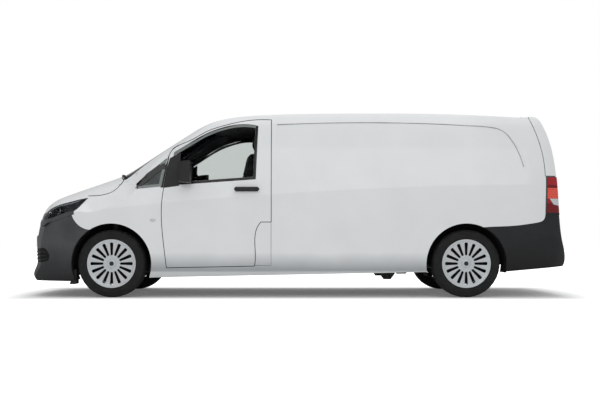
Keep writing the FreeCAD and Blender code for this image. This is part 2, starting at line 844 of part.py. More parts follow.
def surround_zone(margin):
    """A-posts and the scuttle under the windscreen."""
    scuttle = block(front_axle - 200 - margin, roof_front, -880 - margin, 880 + margin, 1100 - margin, FAR)
    return full_prism(A_POST, margin).fuse(scuttle)


def wing():
    """Left wing from the nose to the door, open over the wheel."""
    panel = skin_left.common(block(-FAR, door_front + 90, -FAR, -400, 100, 1150))
    slots = [hinge_slot(DOOR_HINGE, DOOR_ARM, z) for z in DOOR_HINGE_PLACES]
    slots += [hood_slot, hood_guide(seat)]
    return largest(without(panel, full_prism(HOOD, gap / 2), full_prism(FRONT_BUMPER, seat), sill_cut,
                           front_arch, lamp_seat, left_prism(DOOR, gap), surround_zone(seat), grille_seat,
                           quarter_seat, *slots))


screen_span = block(front_axle - 60, roof_front, -FAR, FAR, 1100, FAR)


def screen_prism(offset):
    return front_prism(SCREEN_HOLE, front_axle - 200, roof_front - 60, offset).common(screen_span)


def screen_surround():
    """A-posts, header and scuttle round the windscreen, with the seats of the fixed windows."""
    panel = skin.common(block(-FAR, roof_front, -FAR, FAR, 950, FAR)).common(surround_zone(0))
    hood_space = full_prism(HOOD, gap).cut(screen_zone(0))
    panel = largest(without(panel, full_prism(HOOD, gap / 2), hood_space))
    panel = panel.fuse(pair(hood_guide(0)))
    screen_rebate = screen_prism(seat).cut(flange_hull)
    quarter_hole = left_prism(QUARTER_WINDOW, -glass_border)
    return largest(without(panel, screen_prism(-glass_border), screen_rebate, *pair(left_prism(DOOR, gap)),
                           *pair(quarter_seat), *pair(quarter_hole),
                           *pair(hood_slot)))


def windscreen():
    pane = glass_layer.common(screen_prism(0)).common(screen_zone(0))
    return largest(pane)


def side_panel(side):
    """Side wall from the front door to the tail, with the blind window pressed in."""
    zone = block(door_front + 90 + seat, FAR, -FAR, -300, 100, 600)
    zone = zone.fuse(block(roof_front + seat, FAR, -FAR, -300, 600, roof_joint - seat))
    panel = without(skin_left.common(zone), left_prism(DOOR, gap), sill_cut, rear_arch, gate_zone(gap),
                    full_prism(REAR_BUMPER, seat), light_seat, left_prism(BLIND_WINDOW).cut(glass_outer))
    if side == "left":
        pocket = side_prism(FLAP_ZONE, SIDE_OUT, -half_width + 30, gap - 3)
        slot = hinge_slot(FLAP_HINGE, FLAP_ARM, -flap_hinge_z, 3, 10)
        return largest(without(panel, pocket, slot))
    rail = block(door_rear + 1130, tail_x - 330, SIDE_OUT, -half_width + 16, 1000, 1030)
    panel = without(panel, left_prism(SLIDING_DOOR, gap).cut(flange_hull), left_prism(SLIDING_DOOR, seat), rail)
    return mirrored(largest(panel))


def sliding_door():
    panel = skin_left.common(left_prism(SLIDING_DOOR)).cut(left_prism(BLIND_WINDOW).cut(glass_outer))
    return mirrored(largest(panel).fuse(door_handle(door_rear + 190, 1046)))


def roof_panel():
    panel = skin.common(block(roof_front + seat, FAR, -FAR, FAR, roof_joint, FAR))
    slots = pair(hinge_slot(GATE_HINGE, GATE_ARM, gate_hinge_y))
    return largest(without(panel, gate_zone(gap), *pair(left_prism(DOOR, gap)), *slots))


def tailgate():
    panel = skin.common(gate_zone(0))
    rebate = tail_prism(GATE_WINDOW, seat).cut(flange_hull)
    panel = largest(without(panel, rebate, tail_prism(GATE_WINDOW, -glass_border)))
    return panel.fuse(pair(hinge_arm(GATE_HINGE, GATE_ARM, gate_hinge_y)))


def fuel_flap():
    flap = flange_layer.common(left_prism(FLAP_ZONE)).cut(left_prism(DOOR, gap))
    return flap.fuse(hinge_arm(FLAP_HINGE, FLAP_ARM, -flap_hinge_z, 3, 10))


nodes = [
    form("side_panel_left", side_panel("left")),
    form("side_panel_right", side_panel("right")),
    form("sliding_door_right", sliding_door()),
    form("roof_panel", roof_panel()),
    form("screen_surround", screen_surround()),
    form("wing_left", wing()),
    form("front_bumper", front_bumper()),
    form("grille", grille()),
    form("headlights", both_sides(headlight())),
    form("rear_bumper", rear_bumper()),
    form("tail_lights", both_sides(tail_light())),
    form("fixed_glass", Part.makeCompound([windscreen()] + pair(window(QUARTER_WINDOW)))),
    form("hood", hood()),
    form("door_left", door()),
    form("door_glass_left", window(DOOR_WINDOW)),
    form("mirror_left", door_mirror()),
    form("tailgate", tailgate()),
    form("tailgate_glass", largest(glass_layer.common(tail_prism(GATE_WINDOW)))),
    form("fuel_flap", fuel_flap()),
]


# Cab, load space and underbody

room = form("inner_room", hull(wall + seat))
wheel_rooms = []
for end in ("front", "rear"):
    for side, run in (("left", ("-half_width - 50", f"seat_gap - {end}_room")),
                      ("right", (f"{end}_room - seat_gap", "half_width + 50"))):
        wheel_rooms.append(rod(f"{end}_{side}_space", "y", "arch_radius + 10 + seat_gap", run,
                               x=f"{end}_axle", z="axle_height"))
door_steps = [box("door_step_left", ("door_front - 20", "door_rear + 12"), ("-half_width", "67 - half_width"),
                  ("0", "waist_height + 12")),
              box("door_step_right", ("door_front - 20", "door_rear + 12"), ("half_width - 67", "half_width"),
                  ("0", "waist_height + 12"))]

# Load floor, step down to the cab floor, toe board and fire wall, pressed as one.
pan = pad("floor_outline", [
    ("tail_x - 100", "load_floor"), ("bulkhead_x - 20", "load_floor"), ("bulkhead_x - 20", "cab_floor"),
    ("front_axle + 430", "cab_floor"), ("front_axle + 250", "cab_floor + 260"), ("front_axle + 230", "992 - seat_gap"),
    ("front_axle + 190", "992 - seat_gap"), ("front_axle + 208", "cab_floor + 240"),
    ("front_axle + 406", "cab_floor - 50"), ("bulkhead_x + 20", "cab_floor - 50"),
    ("bulkhead_x + 20", "floor_under"), ("tail_x - 100", "floor_under")], "-half_width", "half_width")
pan = cut("floor_sheet", common("floor_inside", pan, room), fuse("floor_clear", *wheel_rooms, *door_steps))
bed = box("load_bed", ("bulkhead_x + 30", "tail_x - 190"), ("-600", "600"), ("load_floor - 10", "load_floor + 4"))
nodes.append(fuse("floor_pan", pan, bed))

# Two box rails that kick up over the rear axle, tied by four cross members.
rail = pad("rail_left", [
    ("front_axle + 480", "cab_floor - 50 - seat_gap"), ("bulkhead_x + 20", "cab_floor - 50 - seat_gap"),
    ("bulkhead_x + 60", "floor_under - seat_gap"), ("tail_x - 190", "floor_under - seat_gap"),
    ("tail_x - 190", "axle_height + 92"), ("rear_axle - 420", "axle_height + 92"), ("rear_axle - 560", "350"),
    ("front_axle + 480", "350")], "-(rail_spread + rail_width / 2)", "rail_width / 2 - rail_spread")
ties = []
for i, (x, z) in enumerate([("front_axle + 640", ("352", "400")), ("bulkhead_x + 200", ("352", "440")),
                            ("rear_axle - 700", ("352", "440")),
                            ("tail_x - 420", ("axle_height + 94", "floor_under - 2"))]):
    ties.append(box(f"tie_{i}", (x, x + " + 90"), ("-rail_spread", "rail_spread"), z))
nodes.append(fuse("chassis_rails", rail, mirror("rail_right", rail), *ties))


def arch_liner(end):
    """Shell over one left wheel with its inner wall, open for the axle."""
    run = ("-half_width", f"-{end}_room")
    ring = rod(f"{end}_liner_ring", "y", "arch_radius + 10", run, x=f"{end}_axle", z="axle_height")
    bore = rod(f"{end}_liner_bore", "y", "arch_radius + 1", ("-half_width - 1", f"-{end}_room - 9"),
               x=f"{end}_axle", z="axle_height")
    hole = rod(f"{end}_liner_hole", "y", "52", ("-half_width", "0"), x=f"{end}_axle", z="axle_height")
    lower = box(f"{end}_liner_foot", (f"{end}_axle - 600", f"{end}_axle + 600"), ("-half_width - 1", "0"),
                ("-300", "axle_height - 14"))
    tools = [bore, hole, lower]
    if end == "front":
        tools.append(rod("strut_hole", "z", "62", ("axle_height + 200", "axle_height + 600"),
                         x="front_axle", y="-strut_y"))
    shell = cut(f"{end}_liner_shell", ring, fuse(f"{end}_liner_tools", *tools))
    return common(f"{end}_liner", shell, room)


liners = [arch_liner("front"), arch_liner("rear")]
liners += [mirror(liner.Name + "_right", liner) for liner in liners]
nodes.append(group("arch_liners", *liners))

# Ribbed steel wall between cab and load space.
plate = box("bulkhead_plate", ("bulkhead_x", "bulkhead_x + 12"), ("-half_width", "half_width"),
            ("load_floor", "roof_height"))
ribs = []
for i in range(int(size("rib_count"))):
    z = f"load_floor + 200 + {200 * i}"
    ribs.append(box(f"rib_{i}", ("bulkhead_x + 10", "bulkhead_x + 26"), ("-600", "600"), (z, z + " + 60")))
nodes.append(common("bulkhead", fuse("bulkhead_wall", plate, *ribs), room))

# Moulded dash across the cab, with a hood over the dials and a centre stack.
dash_x = mark("dash_x", "front_axle + 232")
dash = pad("dash_outline", [
    ("dash_x - 60", "1046"), ("dash_x + 120", "1082"), ("dash_x + 300", "1062"), ("dash_x + 372", "1000"),
    ("dash_x + 350", "900"), ("dash_x + 250", "800"), ("dash_x + 60", "760"), ("dash_x + 34", "992"),
    ("dash_x - 60", "992")], "-half_width", "half_width")
binnacle = pad("dial_hood", [("dash_x + 170", "1070"), ("dash_x + 240", "1128"), ("dash_x + 372", "1118"),
                             ("dash_x + 360", "1010")], "-seat_spread - 160", "160 - seat_spread")
stack = pad("centre_stack", [("dash_x + 240", "820"), ("dash_x + 368", "960"), ("dash_x + 410", "700"),
                             ("dash_x + 300", "640")], "-140", "170")
door_space = left_prism(DOOR, gap).cut(block(-FAR, FAR, -half_width + 112, 0, 0, FAR))
hub = ("front_axle + 670", "-seat_spread", "1082")
column = ("front_axle + 652.8", "-seat_spread", "1071.8")
lean = vec(-0.86, 0, -0.51)
column_hole = leaned("column_hole", "Cylinder", {"Radius": "34 + seat_gap", "Height": "144 + seat_gap"}, column,
                     lean)
dash_tools = fuse("dash_tools", form("door_space_left", door_space),
                  form("door_space_right", mirrored(door_space)), column_hole)
dash_block = common("dash_inside", fuse("dash_block", dash, binnacle, stack), room)
nodes.append(cut("dashboard", dash_block, dash_tools))

# Rim, three spokes and hub of the steering wheel on a column that runs into the dash.
down = lean.cross(vec(0, 1, 0))
rim = leaned("steering_rim", "Torus", {"Radius1": "186", "Radius2": "14"}, hub, lean)
wheel_parts = [rim, leaned("steering_boss", "Cylinder", {"Radius": "56", "Height": "44"}, hub, lean),
               leaned("steering_column", "Cylinder", {"Radius": "34", "Height": "144"}, column, lean)]
for name, arm in (("left", vec(0, -1, 0)), ("right", vec(0, 1, 0)), ("down", down)):
    wheel_parts.append(leaned("spoke_" + name, "Cylinder", {"Radius": "12", "Height": "186"}, hub, arm))
nodes.append(fuse("steering_wheel", *wheel_parts))


def cab_seat(name, start, end, middle):
    """Cushion and raked back, head rest on two posts, box plinth under it."""
    shell = pad(name + "_cushion", [
        ("seat_x - 330", "815"), ("seat_x - 300", "872"), ("seat_x - 40", "860"), ("seat_x + 120", "880"),
        ("seat_x + 190", "1120"), ("seat_x + 262", "1420"), ("seat_x + 318", "1440"),
        ("seat_x + 360", "1400"), ("seat_x + 290", "1080"), ("seat_x + 230", "770"), ("seat_x - 300", "780")],
        start, end)
    rounded(shell, "18", lambda e: e.BoundBox.YLength > 100)
    head = pad(name + "_head", [("seat_x + 288", "1450"), ("seat_x + 276", "1590"), ("seat_x + 316", "1620"),
                                ("seat_x + 380", "1600"), ("seat_x + 376", "1450")],
               middle + " - 130", middle + " + 130")
    posts = [rod(f"{name}_post_{dy + 70}", "z", "8", ("1395", "1470"), x="seat_x + 333", y=f"{middle} + ({dy})")
             for dy in (-70, 70)]
    plinth = box(name + "_plinth", ("seat_x - 240", "seat_x + 230"), (start + " + 40", end + " - 40"),
                 ("cab_floor", "790"))
    return fuse(name, shell, head, plinth, *posts)


seat_x = mark("seat_x", "door_rear - 480")
driver_seat = cab_seat("driver_seat", "-seat_spread - 250", "250 - seat_spread", "-seat_spread")
bench = cab_seat("bench_seat", "-130", "700", "285")
nodes.append(group("seats", driver_seat, bench))

engine = pad("engine_block", [("front_axle - 380", "330"), ("front_axle + 130", "330"), ("front_axle + 130", "860"),
                              ("front_axle - 380", "860")], "-330", "330")
nodes.append(rounded(engine, "40", lambda e: e.BoundBox.ZLength > 100))

# Cradle under the engine; each side has a lower arm with its ball pin, a spring strut with the
# upper bearing arm over the knuckle, a tower to the body and a stay to the chassis rail.
cradle = cut("cradle", box("cradle_plate", ("front_axle - 330", "front_axle + 330"), ("-400", "400"), ("240", "300")),
             box("cradle_hole", ("front_axle - 210", "front_axle + 210"), ("-260", "260"), ("230", "310")))
foot, head = "knuckle_foot - 0.35", "knuckle_head + 0.35"
half_frame = fuse(
    "half_frame",
    pad("lower_arm", [("front_axle - 150", "-390"), ("front_axle + 300", "-390"), ("front_axle + 26", "-kingpin"),
                      ("front_axle - 26", "-kingpin")], "222", foot, "XY_Plane"),
    rod("lower_boss", "z", "30", ("222", foot), x="front_axle", y="-kingpin"),
    rod("lower_pin", "z", "ball_pin", ("230", "knuckle_foot + 30"), x="front_axle", y="-kingpin"),
    rod("strut", "z", "24", ("240", "900"), x="front_axle", y="-strut_y"),
    rod("spring", "z", "52", ("560", "860"), x="front_axle", y="-strut_y"),
    box("strut_top", ("front_axle - 150", "front_axle + 150"), ("-strut_y - 60", "60 - strut_y"), ("860", "872")),
    box("upper_arm", ("front_axle - 26", "front_axle + 26"), ("-kingpin", "-strut_y"), (head, "knuckle_head + 28")),
    rod("upper_boss", "z", "26", (head, "knuckle_head + 28"), x="front_axle", y="-kingpin"),
    rod("upper_pin", "z", "ball_pin", ("knuckle_head - 35", "knuckle_head + 10"), x="front_axle", y="-kingpin"),
    box("tower", ("front_axle - 300", "front_axle - 220"), ("-420", "-360"), ("290", "900")),
    box("tower_link", ("front_axle - 300", "front_axle + 150"), ("-strut_y + 50", "-390"), ("850", "872")),
    box("engine_mount", ("front_axle - 100", "front_axle + 90"), ("-340", "-255"), ("290", "330")),
    box("rail_stay", ("front_axle + 300", "front_axle + 560"), ("-rail_spread - 40", "40 - rail_spread"),
        ("262", "350 - seat_gap")),
    box("stay_foot", ("front_axle + 280", "front_axle + 330"), ("-rail_spread", "-380"), ("262", "300")))
nodes.append(fuse("front_subframe", cradle, half_frame, mirror("half_frame_right", half_frame)))

# Left knuckle: carrier on the kingpin line with a socket at each end, hub flange and disc.
carrier = pad("carrier", [("front_axle - 45", "knuckle_foot"), ("front_axle + 45", "knuckle_foot"),
                          ("front_axle + 45", "knuckle_head"), ("front_axle - 45", "knuckle_head")],
              "-kingpin - 24", "24 - kingpin")
rounded(carrier, "20", lambda e: e.BoundBox.YLength > 30)
sockets = [rod("socket_low", "z", "ball_pin + 2", ("knuckle_foot - 5", "knuckle_foot + 34"), x="front_axle", y="-kingpin"),
           rod("socket_high", "z", "ball_pin + 2", ("knuckle_head - 38", "knuckle_head + 5"), x="front_axle",
               y="-kingpin")]
knuckle = fuse(
    "knuckle_left", cut("carrier_bored", carrier, fuse("sockets", *sockets)),
    rod("stub", "y", "32", ("-hub_face", "-kingpin"), x="front_axle", z="axle_height"),
    rod("hub_flange", "y", "hub_radius", ("-hub_face", "14 - hub_face"), x="front_axle", z="axle_height"),
    rod("brake_disc", "y", "disc_radius", ("-kingpin - 62", "-kingpin - 40"), x="front_axle", z="axle_height"))
nodes.append(knuckle)

# Trailing twist beam: channel between two arms, with stubs, discs, springs and bushes.
beam = cut("beam", box("beam_plate", ("rear_axle - 260", "rear_axle - 160"), ("-600", "600"),
                       ("axle_height - 60", "axle_height + 30")),
           box("beam_hollow", ("rear_axle - 248", "rear_axle - 150"), ("-610", "610"),
               ("axle_height - 48", "axle_height + 18")))
half_axle = fuse(
    "half_axle",
    box("trailing_arm", ("rear_axle - 520", "rear_axle + 50"), ("-600", "-520"),
        ("axle_height - 40", "axle_height + 40")),
    rod("rear_stub", "y", "34", ("-hub_face", "-560"), x="rear_axle", z="axle_height"),
    rod("rear_flange", "y", "hub_radius", ("-hub_face", "14 - hub_face"), x="rear_axle", z="axle_height"),
    rod("rear_disc", "y", "disc_radius", ("-kingpin - 62", "-kingpin - 40"), x="rear_axle", z="axle_height"),
    rod("rear_spring", "z", "55", ("axle_height + 20", "floor_under - seat_gap"), x="rear_axle - 60", y="-560"),
    rod("rear_bush", "y", "36", ("-600", "-490 - seat_gap"), x="rear_axle - 500", z="axle_height"))
nodes.append(fuse("rear_axle", beam, half_axle, mirror("half_axle_right", half_axle)))

# Pipe from the engine to a silencer and out to the right, hung from two cross members.
nodes.append(fuse(
    "exhaust",
    rod("pipe", "x", "28", ("front_axle + 360", "rear_axle - 640"), y="300", z="300"),
    rod("silencer", "x", "88", ("200", "780"), y="300", z="330"),
    rod("tail_pipe", "y", "26", ("290", "700"), x="rear_axle - 640", z="300"),
    box("hanger_front", ("front_axle + 680", "front_axle + 700"), ("292", "308"), ("320", "352")),
    box("hanger_rear", ("rear_axle - 665", "rear_axle - 645"), ("292", "308"), ("320", "352"))))

tank = pad("fuel_tank", [("180", "300"), ("900", "300"), ("900", "floor_under - seat_gap"),
                         ("180", "floor_under - seat_gap")], "rail_width / 2 + 10 - rail_spread", "-60")
nodes.append(rounded(tank, "30", lambda e: e.BoundBox.ZMax < floor_under - 1 or e.BoundBox.ZLength > 100))

for name in ("wing", "door", "door_glass", "mirror", "knuckle"):
    nodes.append(mirror(name + "_right", doc.getObject(name + "_left")))


# Wheels and tyres: one design, four of each

def tyre(name):
    """Tyre turned from its section, its beads on the rim's seats."""
    outer_half = "tyre_width / 2"
    tread = "tyre_diameter / 2"
    lip = "rim_diameter / 2 + seat_gap"
    section_half = [
        ("bead_radius", f"{outer_half} - 12 - seat_gap"), (lip, f"{outer_half} - 12 - seat_gap"),
        (lip + " + 6", outer_half + " - 3"), (lip + " + 36", outer_half), (tread + " - 32", outer_half + " - 4"),
        (tread + " - 12", outer_half + " - 14"), (tread + " - 3", outer_half + " - 34"),
        (tread, outer_half + " - 60")]
    return turned(name, [(r, f"-({w})") for r, w in section_half] + section_half[::-1])


def wheel(name):
    """Steel wheel with its cover: flanged rim, dished disc, hub cap and a ring of slots."""
    half, rim, well = "tyre_width / 2", "rim_diameter / 2", "bead_radius - seat_gap"
    body = turned(name, [
        (rim, "12 - " + half), (well, "12 - " + half), (well, half + " - 12"), (rim, half + " - 12"),
        (rim, half + " - 4"), (rim + " - 16", half + " - 4"), (well + " - 14", half + " - 20"),
        (well + " - 14", "-46"), ("72", "-52"), ("0", "-52"), ("0", "-86"), ("36", "-86"), ("44", "-80"),
        ("48", "-66"), ("74", "-66"), ("92", "-70"), (well + " - 20", "-60"), (well + " - 12", "14 - " + half),
        (rim + " - 8", "4 - " + half), (rim, "4 - " + half)])
    slot = body.newObject("PartDesign::Pocket", name + "_slot")
    slot.Profile = sketch(body, "XZ_Plane", [
        ("-9.5", "88"), ("-13.5", rim + " - 43"), ("-8", rim + " - 31"), ("8", rim + " - 31"),
        ("13.5", rim + " - 43"), ("9.5", "88"), ("0", "80")])
    slot.Type = 1
    slot.Reversed = True
    doc.recompute()
    ring = body.newObject("PartDesign::PolarPattern", name + "_slots")
    ring.Originals = [slot]
    ring.Axis = (origin(body, "Y_Axis"), [""])
    ring.Angle = 360
    ring.setExpression("Occurrences", full("wheel_slots"))
    body.Tip = ring
    doc.recompute()
    return body


for end in ("front", "rear"):
    for side, place in (("left", "-track / 2"), ("right", "track / 2")):
        for body in (tyre(f"tyre_{end}_{side}"), wheel(f"wheel_{end}_{side}")):
            if side == "right":
                body.Placement.Rotation = FreeCAD.Rotation(vec(0, 0, 1), 180)
            nodes.append(pin_place(body, end + "_axle", place, "axle_height"))


# Checks and files

for obj in nodes:
    obj.Label = obj.Name
doc.recompute()
for obj in doc.Objects:
    if "Invalid" in obj.State or "Error" in obj.State:
        raise RuntimeError(f"{obj.Label} failed to build")
for obj in nodes:
    if obj.Shape.isNull() or not obj.Shape.isValid():
        raise RuntimeError(f"{obj.Label} has no valid shape")
os.makedirs("parts", exist_ok=True)
for obj in nodes:
    obj.Shape.exportStep(f"parts/{obj.Label}.step")
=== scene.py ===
import math

import bmesh
import bpy
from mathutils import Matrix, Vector
from mathutils.bvhtree import BVHTree


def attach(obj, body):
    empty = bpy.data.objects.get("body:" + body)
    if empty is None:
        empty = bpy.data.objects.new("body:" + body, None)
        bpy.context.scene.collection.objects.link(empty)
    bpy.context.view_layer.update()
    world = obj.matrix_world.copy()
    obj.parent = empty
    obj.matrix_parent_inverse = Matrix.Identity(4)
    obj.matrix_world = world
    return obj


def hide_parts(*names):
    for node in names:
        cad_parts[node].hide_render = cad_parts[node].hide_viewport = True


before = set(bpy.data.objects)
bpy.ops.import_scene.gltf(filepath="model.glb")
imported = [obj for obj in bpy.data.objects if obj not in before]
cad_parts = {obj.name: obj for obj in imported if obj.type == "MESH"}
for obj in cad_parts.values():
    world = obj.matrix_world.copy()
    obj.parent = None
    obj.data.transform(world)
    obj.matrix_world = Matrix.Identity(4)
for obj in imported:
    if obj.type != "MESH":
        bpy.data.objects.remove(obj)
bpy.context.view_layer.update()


# Studio: a white sweep under one wide soft box, with a long low one on the near side.
# The floor is matt and keeps the van's shadow, deepened by a painted shadow in a box under the van; the camera is
# level, square to the left side.
def srgb(text):
    """Linear colour from a hex value such as "D9DCDD"."""
    parts = [int(text[i:i + 2], 16) / 255 for i in (0, 2, 4)]
    return tuple([p / 12.92 if p <= 0.04045 else ((p + 0.055) / 1.055) ** 2.4 for p in parts] + [1.0])


def add_node(tree, kind, settings=None, links=None):
    """Adds a shader node; settings set properties or inputs, links join inputs to sockets or nodes."""
    node = tree.nodes.new("ShaderNode" + kind)
    for key, value in (settings or {}).items():
        if isinstance(key, str) and hasattr(node, key):
            setattr(node, key, value)
        else:
            node.inputs[key].default_value = value
    for key, source in (links or {}).items():
        tree.links.new(getattr(source, "outputs", [source])[0], node.inputs[key])
    return node


def maths(tree, operation, a, b=0.0):
    """Math node on sockets, nodes or numbers."""
    settings, links = {"operation": operation}, {}
    for key, item in ((0, a), (1, b)):
        (settings if isinstance(item, (int, float)) else links)[key] = item
    return add_node(tree, "Math", settings, links)


def times(tree, product, *others):
    for other in others:
        product = maths(tree, "MULTIPLY", product, other)
    return product


def ranged(tree, value, low, high, bottom=0.0):
    """Runs from bottom to 1 as the value goes from low to high."""
    return add_node(tree, "MapRange", {1: low, 2: high, 3: bottom, 4: 1.0}, {0: value})


def mix_shaders(tree, amount, first, second):
    return add_node(tree, "MixShader", None, {0: amount, 1: first, 2: second})


def new_material(name):
    """Empty node material and its tree."""
    material = bpy.data.materials.new(name)
    material.use_nodes = True
    material.node_tree.nodes.clear()
    return material, material.node_tree


def show(tree, shader):
    """Puts a shader on the material's surface."""
    add_node(tree, "OutputMaterial", None, {"Surface": shader})


def object_place(tree):
    return add_node(tree, "TexCoord").outputs["Object"]


def split(tree, vector):
    return add_node(tree, "SeparateXYZ", None, {0: vector}).outputs


scene = bpy.context.scene
scene.view_settings.view_transform = "Standard"

# The photo's camera: its place, and its focal length and optical centre in pixels.
CAMERA = Vector((-0.0515, -10.9, 0.576))
PIXELS = 1032.3
CENTRE = (290.6, 238.0)
camera = bpy.data.objects.new("camera", bpy.data.cameras.new("camera"))
camera.location = CAMERA
camera.rotation_euler = (math.radians(90), 0, 0)
camera.data.lens = 61.94
camera.data.sensor_width = 36
camera.data.shift_x = 0.0157
camera.data.shift_y = 0.0533
camera.data.clip_end = 200
scene.collection.objects.link(camera)
scene.camera = camera

WORLD_LIGHT = 0.58
world = bpy.data.worlds.new("studio")
world.use_nodes = True
scene.world = world
tree = world.node_tree
tree.nodes.clear()
path = add_node(tree, "LightPath").outputs
in_sight = maths(tree, "MAXIMUM", path["Is Camera Ray"], path["Is Transmission Ray"])
light = add_node(tree, "Background", {"Color": srgb("F6F7F8"), "Strength": WORLD_LIGHT})
backdrop = add_node(tree, "Background", {"Color": (1, 1, 1, 1), "Strength": 1.0})
add_node(tree, "OutputWorld", None, {"Surface": mix_shaders(tree, in_sight, light, backdrop)})

floor_mesh = bpy.data.meshes.new("floor")
floor_mesh.from_pydata([(-40, -40, 0), (40, -40, 0), (40, 40, 0), (-40, 40, 0)], [], [(0, 1, 2, 3)])
floor = bpy.data.objects.new("floor", floor_mesh)
scene.collection.objects.link(floor)
# Matt sweep that glows white to the camera, except in a box under the van where the glow drops: a painted shadow over
# the real one.
sweep, tree = new_material("matt_white_studio_sweep")
spot = split(tree, object_place(tree))
outside_painted_shadow = [ranged(tree, maths(tree, "ABSOLUTE", spot[axis]), near, far, 0.12)
                for axis, near, far in ((0, 2.6, 3.3), (1, 1.05, 1.35))]
# Painted shadow: the camera's glow falls to 0.12 of full inside the van's footprint.
lift = times(tree, add_node(tree, "LightPath").outputs["Is Camera Ray"], maths(tree, "MAXIMUM", *outside_painted_shadow))
matt = add_node(tree, "BsdfDiffuse", {"Color": srgb("FCFCFC")})
glow = add_node(tree, "Emission", {"Color": (1, 1, 1, 1)}, {"Strength": lift})
show(tree, add_node(tree, "AddShader", None, {0: matt, 1: glow}))
floor.data.materials.append(sweep)

for name, place, aim, width, depth, power in (
        ("top_box", (0, -1.0, 6.5), (0, 0, 0), 9.0, 6.0, 135),
        ("side_box", (0, -9.5, 4.6), (0, 0, 0.8), 11.0, 3.0, 105)):
    lamp = bpy.data.objects.new(name, bpy.data.lights.new(name, "AREA"))
    lamp.data.shape = "RECTANGLE"
    lamp.data.size = width
    lamp.data.size_y = depth
    lamp.data.energy = power
    lamp.location = place
    lamp.rotation_euler = (Vector(aim) - Vector(place)).to_track_quat("-Z", "Y").to_euler()
    scene.collection.objects.link(lamp)


# Underbody: welded box rails, cradle and twist beam of pressed steel, dipped in black wax
# paint; cast engine, hubs and brake discs; a blow-moulded tank and a steel exhaust.
def dress(material, *nodes):
    """Gives CAD nodes one material."""
    for node in nodes:
        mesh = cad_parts[node].data
        mesh.materials.clear()
        mesh.materials.append(material)


def noise(tree, scale, detail=3.0):
    return add_node(tree, "TexNoise", {"Scale": scale, "Detail": detail}, {"Vector": object_place(tree)})


def mottled(tree, colours, scale):
    """Noise in object space turned into a run from one colour to another."""
    ramp = add_node(tree, "ValToRGB", None, {"Fac": noise(tree, scale)})
    for stop, at, colour in zip(ramp.color_ramp.elements, (0.35, 0.65), colours):
        stop.position, stop.color = at, srgb(colour)
    return ramp


def bumped(tree, height, strength, distance):
    return add_node(tree, "Bump", {"Strength": strength, "Distance": distance}, {"Height": height})


def grained(tree, scale, strength, distance):
    """Bump of a fine random grain; scale is grains to the metre."""
    return bumped(tree, noise(tree, scale), strength, distance)


def principled(tree, values, colour, normal):
    return add_node(tree, "BsdfPrincipled", values, {"Base Color": colour, "Normal": normal})


def solid(name, colours, roughness, blotch, grain, **settings):
    """Principled material with a mottled colour and a fine grain."""
    material, tree = new_material(name)
    values = {"Roughness": roughness}
    values.update({key.replace("_", " "): value for key, value in settings.items()})
    show(tree, principled(tree, values, mottled(tree, colours, blotch), grained(tree, *grain)))
    return material


# Wax paint: satin black, blotched grey where road dust has dried on it.
wax_paint = solid("wax_painted_steel", ("0E0F10", "1B1C1D"), 0.55, 14.0, (260.0, 0.3, 0.0008))
# Cast iron and aluminium: dull grey with a sand-cast grain of about 3 mm.
casting = solid("sand_cast_iron", ("2A2B2C", "3E4041"), 0.6, 22.0, (330.0, 0.5, 0.001), Metallic=0.6)
# High-density polyethylene: waxy black, slightly orange-peeled by the mould.
tank_plastic = solid("blow_moulded_polyethylene", ("121314", "18191A"), 0.45, 8.0, (120.0, 0.2, 0.001))
# Aluminised steel: grey metal mottled with a browner grey.
pipe_steel = solid("aluminised_steel", ("4A4643", "6A6A69"), 0.42, 6.0, (500.0, 0.2, 0.0004), Metallic=0.8)
dress(wax_paint, "chassis_rails", "front_subframe", "rear_axle")
dress(casting, "engine_block", "knuckle_left", "knuckle_right")
dress(tank_plastic, "fuel_tank")
dress(pipe_steel, "exhaust")


def make_piece(name, shape, material, body="body", smooth=True):
    """Mesh object that rides on a body and takes one finish; shape is (verts, faces)."""
    mesh = bpy.data.meshes.new(name)
    mesh.from_pydata([tuple(v) for v in shape[0]], [], shape[1])
    mesh.validate()
    piece = bpy.data.objects.new(name, mesh)
    scene.collection.objects.link(piece)
    if smooth:
        mesh.shade_smooth()
    mesh.materials.append(material)
    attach(piece, body)
    return piece


def quads(rows, columns, round_rows=False, round_columns=False, flip=False, gaps=()):
    """Faces of a grid of points that may close on itself either way, without those in gaps."""
    faces = []
    for i in range(rows if round_rows else rows - 1):
        for k in range(columns if round_columns else columns - 1):
            j, m = (i + 1) % rows, (k + 1) % columns
            face = (i * columns + k, i * columns + m, j * columns + m, j * columns + k)
            if (i, k) not in gaps:
                faces.append(face[::-1] if flip else face)
    return faces


def joined(shapes):
    """Several shapes as one."""
    verts, faces = [], []
    for points, sides in shapes:
        faces += [tuple(k + len(verts) for k in side) for side in sides]
        verts += points
    return verts, faces


def sweep_section(path, section):
    """Shape of a section run along a path; section is (across, up) points."""
    verts, count, sides = [], len(path), len(section)
    for i, point in enumerate(path):
        along = (Vector(path[min(i + 1, count - 1)]) - Vector(path[max(i - 1, 0)])).normalized()
        up = Vector((0, 0, 1)) if abs(along.z) < 0.9 else Vector((1, 0, 0))
        across = along.cross(up).normalized()
        up = across.cross(along)
        verts += [Vector(point) + across * u + up * v for u, v in section]
    ends = [tuple(range(sides))[::-1], tuple((count - 1) * sides + k for k in range(sides))]
    return verts, quads(count, sides, False, True) + ends


def ring(radius, sides=12):
    return [(radius * math.cos(2 * math.pi * k / sides), radius * math.sin(2 * math.pi * k / sides))
            for k in range(sides)]


def bar(half_width, half_height):
    return [(u * half_width, v * half_height) for u, v in ((-1, -1), (1, -1), (1, 1), (-1, 1))]


SIDES = ((-1, "left"), (1, "right"))

